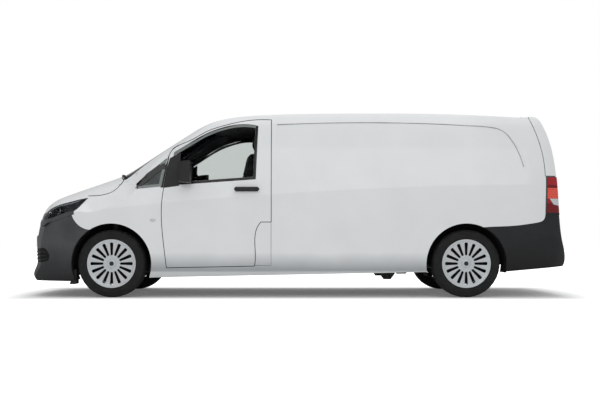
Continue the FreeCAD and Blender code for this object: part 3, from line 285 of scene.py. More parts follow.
# Brackets that carry the rear beam's bushes hang from the rails as pressed cheeks, and a
# steel brake pipe is clipped along each rail.
CHEEKS = ((0.885, 0.955, 0.205), (1.035, 1.085, 0.235))
PIPE = [(-1.15, 0.395, 0.385), (-0.6, 0.398, 0.378), (0.1, 0.396, 0.37), (0.7, 0.4, 0.365), (1.0, 0.404, 0.37),
        (1.12, 0.402, 0.40)]
for side, word in SIDES:
    cheeks = [sweep_section([(x, side * y, z) for x, y, z in (
        (x0, 0.505, 0.36), (x0 + 0.012, 0.51, low + 0.02), (x0 + 0.03, 0.515, low),
        (x1 - 0.03, 0.515, low), (x1 - 0.012, 0.51, low + 0.02), (x1, 0.505, 0.36))], bar(0.002, 0.055))
        for x0, x1, low in CHEEKS]
    make_piece(f"bush_brackets_{word}", joined(cheeks), wax_paint, smooth=False)
    make_piece(f"brake_pipe_{word}", sweep_section([(x, side * y, z) for x, y, z in PIPE], ring(0.007)),
               wax_paint)


# Tyres: moulded rubber with four grooves round the tread, cross cuts in both shoulders and
# ribbed sidewalls, seated on the beads of the rims.
BEAD_RADIUS, AXLE_Z, HALF_TRACK = 0.2243, 0.328, 0.825
AXLES = {"front": -1.7825, "rear": 1.6475}
SHARP, CRISP = math.radians(38), math.radians(35)
CUT_DEPTH, TYRE_TURNS, TURNS_TO_A_CUT = 0.005, 216, 6

# Carbon-black rubber: near black, with a grey bloom and a grain of about 2 mm.
tyre_rubber = solid("moulded_tyre_rubber", ("131415", "1B1C1C"), 0.78, 18.0, (500.0, 0.15, 0.0004),
                    IOR=1.52, Specular_IOR_Level=0.35)


def tyre_profile():
    """Half section from bead to tread centre as (radius, offset, cut); cut marks shoulder blocks."""
    half = [(BEAD_RADIUS, 0.088, 0), (0.2345, 0.0955, 0), (0.238, 0.1005, 0), (0.2425, 0.1030, 0),
            (0.2455, 0.1020, 0), (0.256, 0.1045, 0), (0.2575, 0.1060, 0), (0.2605, 0.1060, 0),
            (0.262, 0.1048, 0), (0.272, 0.1056, 0), (0.280, 0.1050, 0), (0.2815, 0.1062, 0),
            (0.2835, 0.1060, 0), (0.285, 0.1044, 0), (0.295, 0.1028, 0), (0.303, 0.1008, 0),
            (0.310, 0.0975, 0.4), (0.317, 0.0925, 1), (0.322, 0.0860, 1), (0.3255, 0.0780, 1),
            (0.3268, 0.0640, 0), (0.3272, 0.0560, 0), (0.3195, 0.0545, 0), (0.3195, 0.0470, 0),
            (0.3276, 0.0455, 0), (0.3278, 0.0350, 0), (0.3280, 0.0210, 0), (0.3200, 0.0200, 0),
            (0.3200, 0.0120, 0), (0.3280, 0.0110, 0)]
    return [(r, -w, c) for r, w, c in half] + [(r, w, c) for r, w, c in reversed(half)]


def tyre_mesh(x, y, z):
    verts, profile = [], tyre_profile()
    for i in range(TYRE_TURNS):
        angle = 2 * math.pi * i / TYRE_TURNS
        for r, w, cut in profile:
            radius = r if i % TURNS_TO_A_CUT else r - CUT_DEPTH * cut
            verts.append((x + radius * math.sin(angle), y + w, z + radius * math.cos(angle)))
    return verts, quads(TYRE_TURNS, len(profile), True, True, True)


# Wheels: pressed steel, black under a clipped-on cover. The cover is moulded ABS sprayed
# silver, with sixteen tapering slots between its spokes and a plain domed cap.
COVER_SIDE = [(0.0, 0.0950), (0.021, 0.0950), (0.0235, 0.0955), (0.025, 0.0985), (0.027, 0.0990),
              (0.033, 0.0982), (0.040, 0.0955), (0.0425, 0.0905), (0.045, 0.0872), (0.049, 0.0868),
              (0.060, 0.0880), (0.072, 0.0865), (0.080, 0.0858), (0.0825, 0.0858), (0.086, 0.0860),
              (0.092, 0.0864), (0.110, 0.0874), (0.135, 0.0886), (0.160, 0.0900), (0.180, 0.0914),
              (0.193, 0.0926), (0.199, 0.0932), (0.2025, 0.0937), (0.205, 0.0942), (0.211, 0.0962),
              (0.219, 0.1008), (0.2265, 0.1046), (0.2315, 0.1054), (0.2345, 0.1042), (0.2352, 0.1012)]
SLOTS, SLOT_ENDS, SLOT_HALVES, SLOT_ROUND = 16, (0.080, 0.205), (0.0105, 0.0165), 0.010
COVER_DEPTH = 0.011

# Silver lacquer: aluminium flake in clear binder, even satin with a faint sparkle.
silver_cover = solid("silver_lacquered_abs", ("C3C7C9", "CDD1D3"), 0.38, 60.0, (900.0, 0.05, 0.0003),
                     Metallic=0.35, Coat_Weight=0.25, Coat_Roughness=0.12)
# Black enamel over pressed steel, a plain satin.
black_wheel = solid("black_painted_wheel_steel", ("101112", "17181A"), 0.5, 25.0, (500.0, 0.15, 0.0004))


def slot_half(radius):
    """Half width of a slot at a radius: round ends, widening outwards."""
    (inner, outer), (narrow, wide) = SLOT_ENDS, SLOT_HALVES
    if not inner < radius < outer:
        return 0.0
    half = narrow + (wide - narrow) * (radius - inner) / (outer - inner)
    near = min(radius - inner, outer - radius)
    return half * math.sqrt(max(0.0, 1 - (1 - min(1.0, near / SLOT_ROUND)) ** 2))


def cover_mesh(x, y, z, outward):
    """Cover's face: rows of rings whose points close in on each slot."""
    spread = (1.0, 0.72, 0.44, 0.18, 0.0)
    lines = [(2 * math.pi * s / SLOTS, sign, far) for s in range(SLOTS)
             for sign, far in [(-1, t) for t in spread] + [(1, t) for t in spread[:0:-1]]]
    verts, step, count = [], math.pi / SLOTS, len(lines)
    halves = [slot_half(radius) for radius, _ in COVER_SIDE]
    for (radius, depth), half in zip(COVER_SIDE, halves):
        opening = math.asin(min(1.0, half / radius)) if half else 0.0
        for centre, sign, far in lines:
            angle = centre + sign * (opening + (step - opening) * far)
            rounded = 0.0016 * max(0.0, 1 - far / 0.18) if opening else 0.0
            verts.append((x + radius * math.sin(angle), y + outward * (depth - rounded),
                          z + radius * math.cos(angle)))
    gaps = {(row, k) for row in range(len(COVER_SIDE) - 1) if halves[row] or halves[row + 1]
            for k in range(count) if lines[k][2] == lines[(k + 1) % count][2] == 0.0}
    return verts, quads(len(COVER_SIDE), count, False, True, outward < 0, gaps)


def thicken(piece, drop):
    """Closes an open skin into a plate: a second skin lowered by drop(vert), walls all round."""
    bm = bmesh.new()
    bm.from_mesh(piece.data)
    bmesh.ops.remove_doubles(bm, verts=bm.verts, dist=0.00002)
    bm.normal_update()
    edges = [edge for edge in bm.edges if len(edge.link_faces) == 1]
    twin = {vert: bm.verts.new(vert.co + drop(vert)) for vert in list(bm.verts)}
    for face in list(bm.faces):
        bm.faces.new([twin[vert] for vert in reversed(face.verts)])
    for edge in edges:
        loop = edge.link_loops[0]
        one, other = loop.vert, loop.link_loop_next.vert
        bm.faces.new((other, one, twin[one], twin[other]))
    bm.to_mesh(piece.data)
    bm.free()
    piece.data.shade_smooth()
    piece.data.set_sharp_from_angle(angle=SHARP)


def turned_mesh(centre, profile, outward, turns=72):
    """Skin turned about the Y direction through centre, from (radius, offset outwards)."""
    verts = []
    for i in range(turns):
        angle = 2 * math.pi * i / turns
        verts += [(centre[0] + radius * math.sin(angle), centre[1] + outward * offset,
                   centre[2] + radius * math.cos(angle)) for radius, offset in profile]
    return verts, quads(turns, len(profile), True, False, outward < 0)


# Splash shields: dished steel plates behind each wheel, waxed black, that close it from inside.
SHIELD = [(0.064, -0.036), (0.140, -0.036), (0.150, -0.040), (0.178, -0.040), (0.186, -0.034), (0.201, -0.034),
          (0.203, -0.037), (0.188, -0.037), (0.179, -0.043), (0.150, -0.043), (0.140, -0.039), (0.064, -0.039),
          (0.064, -0.036)]

# Cap: a bare satin dome pressed into the cover's middle.
CAP = [(0.0, 0.0992), (0.006, 0.0991), (0.014, 0.0984), (0.019, 0.0974), (0.0205, 0.0962), (0.0207, 0.0945)]

for end, axle_x in AXLES.items():
    for side, word in ((-1, "left"), (1, "right")):
        body, hub = f"{end}_wheel_{word}", (axle_x, side * HALF_TRACK, AXLE_Z)
        tyre = make_piece(f"tyre_tread_{end}_{word}", tyre_mesh(*hub), tyre_rubber, body)
        tyre.data.set_sharp_from_angle(angle=SHARP)
        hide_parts(f"tyre_{end}_{word}")
        cover = make_piece(f"wheel_cover_{end}_{word}", cover_mesh(*hub, side), silver_cover, body)
        thicken(cover, lambda vert: Vector((0, -COVER_DEPTH * side, 0)))
        make_piece(f"wheel_cap_{end}_{word}", turned_mesh(hub, CAP, side), black_wheel, body)
        dress(black_wheel, f"wheel_{end}_{word}")
        make_piece(f"splash_shield_{end}_{word}", turned_mesh(hub, SHIELD, side), wax_paint,
                   f"knuckle_{word}" if end == "front" else "body")


# Body shell: pressed steel panels, primed and sprayed solid white under clear lacquer, with
# a faint orange peel. A painted shade greys them towards the ground, less on the sill's lip as a painted highlight,
# and dark felt lines the cab inside.
def under(tree, value, low, high):
    """1 below low, 0 above high."""
    return maths(tree, "SUBTRACT", 1.0, ranged(tree, value, low, high))


def mix_colours(tree, amount, first, second):
    """Colour between two; each is a hex value or a socket."""
    settings, links = {"data_type": "RGBA"}, {0: amount}
    for key, item in ((6, first), (7, second)):
        if isinstance(item, str):
            settings[key] = srgb(item)
        else:
            links[key] = item
    return add_node(tree, "Mix", settings, links).outputs[2]


paint, tree = new_material("white_lacquered_steel")
coordinates = add_node(tree, "TexCoord").outputs
spot, facing = split(tree, coordinates["Object"]), split(tree, coordinates["Normal"])
cloud = noise(tree, 2.2, 4.0)
spray = mix_colours(tree, ranged(tree, cloud, 0.35, 0.65), "E9EBEC", "EDEFF0")
height = maths(tree, "ADD", spot[2], times(tree, cloud, 0.05))
# Painted shade: the flank runs towards grey 8F9496 between 0.46 m and 0.30 m; below 0.26 m the sill's lip keeps a
# painted highlight.
painted_low_shade = times(tree, under(tree, height, 0.30, 0.46), ranged(tree, spot[2], 0.242, 0.262, 0.35))
shaded_spray = mix_colours(tree, times(tree, painted_low_shade, 0.80), spray, "8F9496")
lacquered = principled(tree, {"Roughness": 0.42, "IOR": 1.5, "Coat Weight": 0.7, "Coat Roughness": 0.07}, shaded_spray,
                       bumped(tree, noise(tree, 220.0, 1.0), 0.03, 0.001))
inner_side = ranged(tree, times(tree, spot[1], facing[1], -1.0), 0.15, 0.16)
overhead = ranged(tree, times(tree, facing[2], -1.0), 0.45, 0.46)
inner_roof = times(tree, overhead, ranged(tree, spot[2], 1.3, 1.31))
lined = times(tree, maths(tree, "MAXIMUM", inner_side, inner_roof), under(tree, spot[0], -0.21, -0.209),
              ranged(tree, spot[2], 0.45, 0.46))
ahead_of_seats = under(tree, spot[0], -0.78, -0.74)
lining = mix_colours(tree, ahead_of_seats, mottled(tree, ("101112", "1A1B1D"), 700.0), "6A6D6F")
felt = principled(tree, {"Roughness": 0.95, "Sheen Weight": 0.3}, lining, grained(tree, 1400.0, 0.5, 0.0006))
show(tree, mix_shaders(tree, lined, lacquered, felt))
dress(paint, "side_panel_left", "side_panel_right", "sliding_door_right", "roof_panel", "screen_surround",
      "wing_left", "wing_right", "hood", "door_left", "door_right", "tailgate", "fuel_flap")

# Floor and bulkhead: galvanised steel under light grey primer, scuffed along the load floor.
primer = solid("grey_primed_steel", ("9A9D9F", "ABAEB0"), 0.5, 9.0, (300.0, 0.15, 0.0006))
dress(primer, "floor_pan", "bulkhead")


# Least cosine between an outer face and outwards, and the most between faces at a rim.
FACING, CREASE = 0.25, 0.6


def rim_loops(node, heart):
    """Closed sharp-edged loops round a CAD node's outer faces, longest first, as (point, normal)."""
    bm = bmesh.new()
    bm.from_mesh(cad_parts[node].data)
    bmesh.ops.remove_doubles(bm, verts=bm.verts, dist=0.00003)
    links, normals = {}, {}
    for edge in bm.edges:
        if len(edge.link_faces) != 2:
            continue
        middle = (edge.verts[0].co + edge.verts[1].co) / 2
        away = (middle - heart(middle)).normalized()
        outer, side = sorted(edge.link_faces, key=lambda face: -face.normal.dot(away))
        if outer.normal.dot(away) < FACING or side.normal.dot(outer.normal) > CREASE:
            continue
        for one, other in (tuple(edge.verts), tuple(edge.verts)[::-1]):
            links.setdefault(one, []).append(other)
            normals[one] = normals.get(one, Vector()) + outer.normal

    def walk(start, here):
        chain, before = [start], start
        while here is not start and here not in used:
            used.add(here)
            chain.append(here)
            onward = [spot for spot in links[here] if spot is not before and (spot is start or spot not in used)]
            if not onward:
                break
            heading = (here.co - before.co).normalized()
            before, here = here, max(onward, key=lambda spot: (spot.co - here.co).normalized().dot(heading))
        return chain, here is start

    loops, used = [], set()
    for start in sorted(links, key=lambda vert: tuple(round(c, 4) for c in vert.co)):
        if start in used or len(links[start]) != 2:
            continue
        used.add(start)
        chain, closed = walk(start, links[start][0])
        if not closed and links[start][1] not in used:
            chain = walk(start, links[start][1])[0][:0:-1] + chain
        loops.append([(vert.co.copy(), normals[vert].normalized()) for vert in chain])
    bm.free()
    return sorted(loops, key=lambda loop: -sum((a[0] - b[0]).length for a, b in zip(loop, loop[1:])))


def even_loop(loop, step):
    """The loop walked in even steps."""
    spots, travelled, wanted = [], 0.0, 0.0
    for (a, n), (b, m) in zip(loop, loop[1:] + loop[:1]):
        reach = (b - a).length
        while reach and wanted < travelled + reach:
            share = (wanted - travelled) / reach
            spots.append((a.lerp(b, share), n.lerp(m, share).normalized()))
            wanted += step
        travelled += reach
    return spots


def surface_of(*nodes):
    """Ray-cast tree over CAD nodes."""
    meshes = [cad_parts[node].data for node in nodes]
    return BVHTree.FromPolygons(*joined(([v.co.copy() for v in mesh.vertices], [p.vertices for p in mesh.polygons])
                                        for mesh in meshes))


def middle_of(loop):
    return sum((p for p, _ in loop), Vector()) / len(loop)


# Distance off a skin from which a rim's points find its outer face.
RIM_OUTSIDE = 0.015


def rim_band(name, loop, rows, material, body="body", surface=None, step=0.012):
    """Band along a loop: rows are (outward from the loop, lift off the skin)."""
    centre, spots, verts = middle_of(loop), even_loop(loop, step), []
    for i, (point, normal) in enumerate(spots):
        across = (spots[(i + 2) % len(spots)][0] - spots[i - 2][0]).normalized().cross(normal).normalized()
        if across.dot(point - centre) < 0:
            across = -across
        for out, rise in rows:
            place = point + across * out
            if surface:
                place = surface.find_nearest(place + normal * RIM_OUTSIDE)[0]
            verts.append(place + normal * rise)
    return make_piece(name, (verts, quads(len(spots), len(rows), True, True, True)), material, body)


# Seals: extruded EPDM rubber, clipped round each opening just below the skin, dark as a painted shade
# that shows as the dark line of every shut gap. The tailgate's is grey, a paler painted shade than the others.
black_rubber_and_gap_shade = solid("extruded_epdm_rubber", ("17181A", "1F2022"), 0.8, 40.0, (700.0, 0.2, 0.0003))
pale_gap_shade_rubber = solid("grey_epdm_gap_shade", ("7E8183", "8A8D8F"), 0.75, 40.0, (700.0, 0.2, 0.0003))
SEAL = [(0.0012, -0.0035), (0.0115, -0.0035), (0.0115, -0.0075), (0.0012, -0.0075)]


def level_heart(point):
    return Vector((point.x, 0, point.z))


def hood_heart(point):
    return Vector((-1.55, point.y * 0.55, 0.45))


def tail_heart(point):
    return Vector((1.6, point.y * 0.5, 1.1))


for name, node, heart, rubber in (
        ("door_seal_left", "door_left", level_heart, black_rubber_and_gap_shade),
        ("door_seal_right", "door_right", level_heart, black_rubber_and_gap_shade),
        ("sliding_door_seal", "sliding_door_right", level_heart, black_rubber_and_gap_shade),
        ("hood_seal", "hood", hood_heart, black_rubber_and_gap_shade),
        ("tailgate_seal", "tailgate", tail_heart, pale_gap_shade_rubber)):
    rim_band(name, rim_loops(node, heart)[0], SEAL, rubber)


# Bumpers, grille and arch liners: injection-moulded polypropylene with a fine spark-eroded
# grain, mid grey in front and nearly black behind, and liners of needled felt.
def bumper_plastic(name, colours, painted_shade_colour, level):
    """Grained polypropylene darkened towards the ground by a painted shade."""
    material, tree = new_material(name)
    # Painted shade: the colour runs to a dark one below the given heights.
    low = under(tree, split(tree, object_place(tree))[2], *level)
    colour = mix_colours(tree, low, mottled(tree, colours, 5.0), painted_shade_colour)
    show(tree, principled(tree, {"Roughness": 0.55, "Specular IOR Level": 0.35}, colour,
                          grained(tree, 420.0, 0.22, 0.0006)))
    return material


front_plastic = bumper_plastic("grained_grey_polypropylene", ("3F4143", "4A4C4E"), "191A1B", (0.17, 0.52))
rear_plastic = bumper_plastic("grained_black_polypropylene", ("191B1C", "202223"), "080909", (0.28, 0.62))
liner_felt = solid("needled_polyester_felt", ("070808", "0D0E0E"), 0.95, 60.0, (500.0, 0.6, 0.001))
dress(front_plastic, "front_bumper")
dress(rear_plastic, "rear_bumper", "grille")
dress(liner_felt, "arch_liners")


# Distance from the camera at which a line of sight that misses a skin looks for it.
VAN_DISTANCE = 10.1


def sight(point):
    """Line of sight of the photo through a pixel; its y is one metre."""
    return Vector(((point[0] - CENTRE[0]) / PIXELS, 1.0, (CENTRE[1] - point[1]) / PIXELS))


def meet(start, along, guess, surface):
    """Where a ray meets a skin, or else the skin's point nearest to a guess."""
    return surface.ray_cast(Vector(start), Vector(along))[0] or surface.find_nearest(Vector(guess))[0]


def seen(points, surface):
    """Where the photo's lines of sight through pixels meet a skin, or pass nearest to it."""
    rays = [sight(point).normalized() for point in points]
    return [meet(CAMERA, ray, CAMERA + ray * VAN_DISTANCE, surface) for ray in rays]


def ahead(y, z, surface):
    """Point of a skin seen straight from the front."""
    return meet((-4, y, z), (1, 0, 0), (-2.6, y, z), surface)


def smooth_line(points, per_span=8):
    """Curve through points, a few steps to each span."""
    points = [Vector(p) for p in points]
    ends = [points[0] * 2 - points[1]] + points + [points[-1] * 2 - points[-2]]
    line = []
    for a, b, c, d in zip(ends, ends[1:], ends[2:], ends[3:]):
        for k in range(per_span):
            t = k / per_span
            bend = 2 * a - 5 * b + 4 * c - d
            line.append(0.5 * (2 * b + (c - a) * t + bend * t * t + (3 * b - a - 3 * c + d) * t ** 3))
    return line + [points[-1]]


def even_line(points, count):
    """The curve through points, walked in count even steps."""
    line = smooth_line(points)
    runs = [(b - a).length for a, b in zip(line, line[1:])]
    total, spots, k, passed = sum(runs), [], 0, 0.0
    for i in range(count + 1):
        wanted = total * i / count
        while k < len(runs) - 1 and passed + runs[k] < wanted:
            passed += runs[k]
            k += 1
        spots.append(line[k].lerp(line[k + 1], min(1.0, (wanted - passed) / max(runs[k], 1e-9))))
    return spots


# Distance off a skin from which its outer face is the nearest one.
OUTSIDE = 0.025


def skin_patch(surface, first, second, heart, columns=72, rows=20):
    """Grid of (point, outward normal) on a skin between two lines of points."""
    heart, grid = Vector(heart), []
    for p, q in zip(even_line(first, columns), even_line(second, columns)):
        inner = [p.lerp(q, j / rows) for j in range(rows + 1)]
        grid.append([surface.find_nearest(spot + (spot - heart).normalized() * OUTSIDE)[0] for spot in inner])
    for _ in range(2):
        grid = [[grid[i][j] if i in (0, columns) or j in (0, rows) else
                 (grid[i - 1][j] + grid[i + 1][j] + grid[i][j - 1] + grid[i][j + 1]) / 4
                 for j in range(rows + 1)] for i in range(columns + 1)]
    patch = []
    for i in range(columns + 1):
        line = []
        for j, point in enumerate(grid[i]):
            along = grid[min(columns, i + 1)][j] - grid[max(0, i - 1)][j]
            normal = along.cross(grid[i][min(rows, j + 1)] - grid[i][max(0, j - 1)])
            if normal.length < 1e-9:
                normal = point - heart
            normal.normalize()
            line.append((point, normal if normal.dot(point - heart) > 0 else -normal))
        patch.append(line)
    return patch


def patch_spot(patch, s, t, lift=0.0):
    """Point over a patch: s runs along its two lines, t from the first to the second."""
    columns, rows = len(patch) - 1, len(patch[0]) - 1
    i, j = min(columns - 1, max(0, int(s * columns))), min(rows - 1, max(0, int(t * rows)))
    u, v = s * columns - i, t * rows - j
    (p, n), (q, m) = patch[i][j], patch[i + 1][j]
    (g, k), (h, e) = patch[i][j + 1], patch[i + 1][j + 1]
    return p.lerp(q, u).lerp(g.lerp(h, u), v) + n.lerp(m, u).lerp(k.lerp(e, u), v).normalized() * lift


def zone(s0, s1, t0, t1):
    return (s0, t0), (s1, t0), (s1, t1), (s0, t1)


WHOLE = zone(0, 1, 0, 1)


def plate(name, patch, area, size, lift, thick, material, body="body"):
    """Plate over part of a patch, between four (s, t) corners; its right copy is mirrored.
    lift is a height over the skin, or a function of the place in the area."""
    (s0, t0), (s1, t1), (s2, t2), (s3, t3) = area
    columns, rows = size
    verts = []
    for i in range(columns + 1):
        u = i / columns
        for j in range(rows + 1):
            v = j / rows
            s = (s0 + (s1 - s0) * u) * (1 - v) + (s3 + (s2 - s3) * u) * v
            t = (t0 + (t1 - t0) * u) * (1 - v) + (t3 + (t2 - t3) * u) * v
            verts.append(patch_spot(patch, s, t, lift(u, v) if callable(lift) else lift))
    centre = (s0 + s2) / 2, (t0 + t2) / 2
    outward = patch_spot(patch, *centre, 1.0) - patch_spot(patch, *centre)
    mid = (columns // 2) * (rows + 1) + rows // 2
    turn = (verts[mid + 1] - verts[mid]).cross(verts[mid + rows + 1] - verts[mid]).dot(outward) > 0
    pieces = []
    for side, word in SIDES:
        points = [Vector((v.x, v.y * -side, v.z)) for v in verts]
        shape = points, quads(columns + 1, rows + 1, flip=turn != (side < 0))
        pieces.append(make_piece(f"{name}_{word}", shape, material, body.format(word)))
        if thick:
            thicken(pieces[-1], lambda vert: vert.normal * -thick)
    return pieces


def rounded_slab(centre, right, up, width, height, depth, radius, edge=0.002, turns=6):
    """Flat slab with round corners and eased front edges; its front faces right x up."""
    centre, right, up = Vector(centre), Vector(right).normalized(), Vector(up).normalized()
    front = right.cross(up)
    verts = []
    for inset, lift in ((0.0, 0.0), (0.0, depth - edge), (edge * 0.3, depth - edge * 0.3), (edge, depth)):
        for k, (sx, sy) in enumerate(((1, 1), (-1, 1), (-1, -1), (1, -1))):
            for i in range(turns + 1):
                angle = math.radians(90 * k + 90 * i / turns)
                r = max(radius - inset, 0.0002)
                x = sx * (width / 2 - radius) + r * math.cos(angle)
                y = sy * (height / 2 - radius) + r * math.sin(angle)
                verts.append(centre + right * x + up * y + front * lift)
    count = 4 * (turns + 1)
    return verts, quads(4, count, False, True) + [tuple(range(count))[::-1], tuple(range(3 * count, 4 * count))]


def make_slab(name, shape, material, body="body"):
    """Piece whose edges stay crisp."""
    make_piece(name, shape, material, body).data.set_sharp_from_angle(angle=CRISP)


# Grid in the lower intake: seven slats and thirteen uprights, bowed like the bumper.
INTAKE_X, INTAKE_LOW, INTAKE_HIGH, INTAKE_HALF = -2.632, 0.308, 0.432, 0.535


def bowed(y, z, back=0.0):
    """Point of the intake, on the bumper's bow."""
    return INTAKE_X + back + y * y / 4.6 + 0.06 * max(0.0, (abs(y) - 0.6) / 0.4) ** 2, y, z


bars = []
for k in range(7):
    z, half = INTAKE_LOW + (INTAKE_HIGH - INTAKE_LOW) * k / 6, INTAKE_HALF - 0.02 * k / 6
    bars.append(sweep_section([bowed(half * i / 12, z) for i in range(-12, 13)], bar(0.009, 0.0035)))
for k in range(-6, 7):
    ends = [bowed(k * 0.082, z, 0.004) for z in (INTAKE_LOW - 0.012, INTAKE_HIGH + 0.012)]
    bars.append(sweep_section(ends, bar(0.003, 0.008)))
make_piece("intake_grid", joined(bars), rear_plastic, smooth=False)

# Radiator screen: black woven felt on a frame behind the intake.
UP = (0, 0, 1)
mesh_frame = rounded_slab((INTAKE_X + 0.075, 0, (INTAKE_LOW + INTAKE_HIGH) / 2), (0, -1, 0), UP, 1.06,
                          INTAKE_HIGH - INTAKE_LOW + 0.05, 0.004, 0.010)
make_slab("radiator_screen", mesh_frame, liner_felt)

# Side intakes: black felt sheets laid just over the bumper's corners, a painted shade of the openings, each with
# three slats across.
front_skin = surface_of("front_bumper", "wing_left", "headlights", "hood")
UPPER_INTAKE = [(49.2, 254.0), (44.5, 248.2), (39.2, 248.4)]
LOWER_INTAKE = [(49.4, 256.0), (47.4, 260.6), (39.8, 261.8)]
intake = skin_patch(front_skin, seen(UPPER_INTAKE, front_skin) + [ahead(-0.60, 0.478, front_skin)],
                    seen(LOWER_INTAKE, front_skin) + [ahead(-0.60, 0.352, front_skin)], (-2.0, 0, 0.5))
plate("side_intake", intake, WHOLE, (40, 14), 0.0008, 0.002, liner_felt)
for k in range(3):
    t = 0.22 + 0.27 * k
    plate(f"side_intake_slat_{k}", intake, zone(0.10, 0.97, t, t + 0.10), (36, 4),
          lambda u, v: 0.004 + 0.004 * math.sin(math.pi * v), 0.004, rear_plastic)

# Skirts: the liners' felt carried down to the sill and bumpers at each end of the arches,
# between the angles given, in degrees below the axle.
LINER_RADIUS, LINER_Y = 0.3935, 0.765
for end, spans in (("front", ((-16, 24), (-14, 22))), ("rear", ((-10, 18), (-12, 13)))):
    for side, word in SIDES:
        skirts = []
        for sign, (high, low) in zip((-1, 1), spans):
            angles = [math.radians(high + (low - high) * k / 8) for k in range(9)]
            skirts.append(sweep_section([(AXLES[end] + sign * LINER_RADIUS * math.cos(angle), side * LINER_Y,
                                          AXLE_Z - LINER_RADIUS * math.sin(angle)) for angle in angles],
                                        bar(0.142, 0.002)))
        make_piece(f"liner_skirt_{end}_{word}", joined(skirts), liner_felt, smooth=False)

# Air deflectors: rubber wedges screwed under the bumper ahead of the front tyres.
DEFLECTOR_X, DEFLECTOR_Z = -2.163, 0.2
DEFLECTOR = [(-2.196, 0.27), (-2.196, 0.137), (-2.190, 0.129), (-2.182, 0.127), (-2.140, 0.127), (-2.132, 0.130),
             (-2.130, 0.137), (-2.156, 0.19), (-2.172, 0.27)]
for side, word in SIDES:
    wedge = sweep_section([(DEFLECTOR_X, side * y, DEFLECTOR_Z) for y in (0.76, 0.88)],
                          [((x - DEFLECTOR_X) * -side, z - DEFLECTOR_Z) for x, z in DEFLECTOR])
    make_piece(f"air_deflector_{word}", wedge, black_rubber_and_gap_shade, smooth=False)

# Number plates: bare pressed aluminium, enamelled pale, each in a moulded holder.
plate_enamel = solid("pale_enamelled_aluminium", ("D6D8D8", "DCDEDE"), 0.35, 12.0, (260.0, 0.03, 0.0004))
nose_at = min(ahead(y, z, front_skin).x for y in (-0.26, 0, 0.26) for z in (0.485, 0.595))
for name, material, width, height, depth, lift, slot in (
        ("front_plate_holder", rear_plastic, 0.54, 0.128, 0.018, -0.014, "black_plastic"),
        ("front_plate", plate_enamel, 0.520, 0.110, 0.004, 0.0095, "body_paint")):
    slab = rounded_slab((nose_at - lift, 0, 0.54), (0, -1, 0), UP, width, height, depth, 0.012)
    make_slab(name, slab, material)


# Headlamps: a clear polycarbonate lens welded to a black housing, with an aluminised bowl, a
# projector, a light guide along the top and a dark ribbed bezel. They bolt behind the wing.
LAMP_TOP = [(88.2, 197.5), (80.5, 199.0), (72.5, 201.1), (59.1, 204.9), (51.5, 208.4), (47.6, 211.8)]
LAMP_FOOT = [(88.2, 197.5), (80.6, 205.4), (72.9, 213.3), (62.0, 218.4), (52.6, 222.9), (45.2, 227.8)]
LAMP_HEART = (-1.95, -0.30, 0.72)
lamp_skin = surface_of("headlights", "front_bumper", "wing_left", "hood")
lamp_top, lamp_foot = [
    seen(side_points, lamp_skin) + [ahead(y, z, lamp_skin) for y, z in nose_points]
    for side_points, nose_points in ((LAMP_TOP, ((-0.66, 0.824), (-0.58, 0.820), (-0.515, 0.818))),
                                     (LAMP_FOOT, ((-0.67, 0.694), (-0.60, 0.716), (-0.515, 0.724))))]
lamp = skin_patch(lamp_skin, lamp_top, lamp_foot, LAMP_HEART)


def clear_sheet(name, tint, dark, roughness, ior, ripple, share):
    """Clear sheet with a hard gloss that doubles as a mirror at a slant."""
    material, tree = new_material(name)
    clear = add_node(tree, "BsdfTransparent", {"Color": srgb(tint)})
    gloss = add_node(tree, "BsdfPrincipled", {"Base Color": srgb(dark), "Roughness": roughness, "IOR": ior},
                     {"Normal": grained(tree, *ripple)})
    show(tree, mix_shaders(tree, add_node(tree, "Fresnel", {"IOR": share}), clear, gloss))
    return material


# Hard-coated polycarbonate: almost clear.
lens = clear_sheet("clear_polycarbonate", "E4E7E8", "3A3D3F", 0.04, 1.58, (20.0, 0.004, 0.0004), 1.45)
# Black ABS inside the lamp, eroded to a fine satin grain.
housing = solid("black_moulded_abs", ("34373A", "44474A"), 0.32, 30.0, (600.0, 0.25, 0.0005))
# Aluminium vapour on plastic: a bright mirror with a slight ripple from the mould.
chrome = solid("vapour_aluminised_plastic", ("D4D7DA", "DDE0E2"), 0.12, 40.0, (90.0, 0.06, 0.0006),
                        Metallic=1.0)
# Acrylic light guide: milky white with a soft gloss.
guide = solid("frosted_acrylic", ("CDD1D3", "DADDDF"), 0.28, 30.0, (240.0, 0.1, 0.0004), Coat_Weight=0.5)


def bowl(u, v):
    """Depth of the housing: shallow at its rim and in the tail, deep in the front."""
    edge = min(1.0, u / 0.22, (1 - u) / 0.04, v / 0.10, (1 - v) / 0.10)
    return -0.001 - 0.040 * math.sin(math.pi / 2 * max(0.0, edge)) * min(1.0, 0.25 + u * 1.4)


housings = plate("headlamp_housing", lamp, WHOLE, (96, 36), bowl, 0.002, housing)
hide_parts("headlights")
APRON_HIGH = [(73.6, 211.6), (70.0, 211.8), (60.0, 215.2), (50.0, 218.8), (42.0, 221.6)]
APRON_LOW = [(73.9, 214.8), (70.0, 216.0), (60.0, 219.2), (50.0, 222.6), (41.8, 226.2)]
apron_skin = surface_of("front_bumper", "wing_left", "headlights", "hood", "grille")
apron = skin_patch(apron_skin, seen(APRON_HIGH, apron_skin) + [Vector((-2.66, -0.55, 0.80))],
                   seen(APRON_LOW, apron_skin) + [Vector((-2.67, -0.55, 0.76))], (-2.0, 0, 0.6), 60, 6)
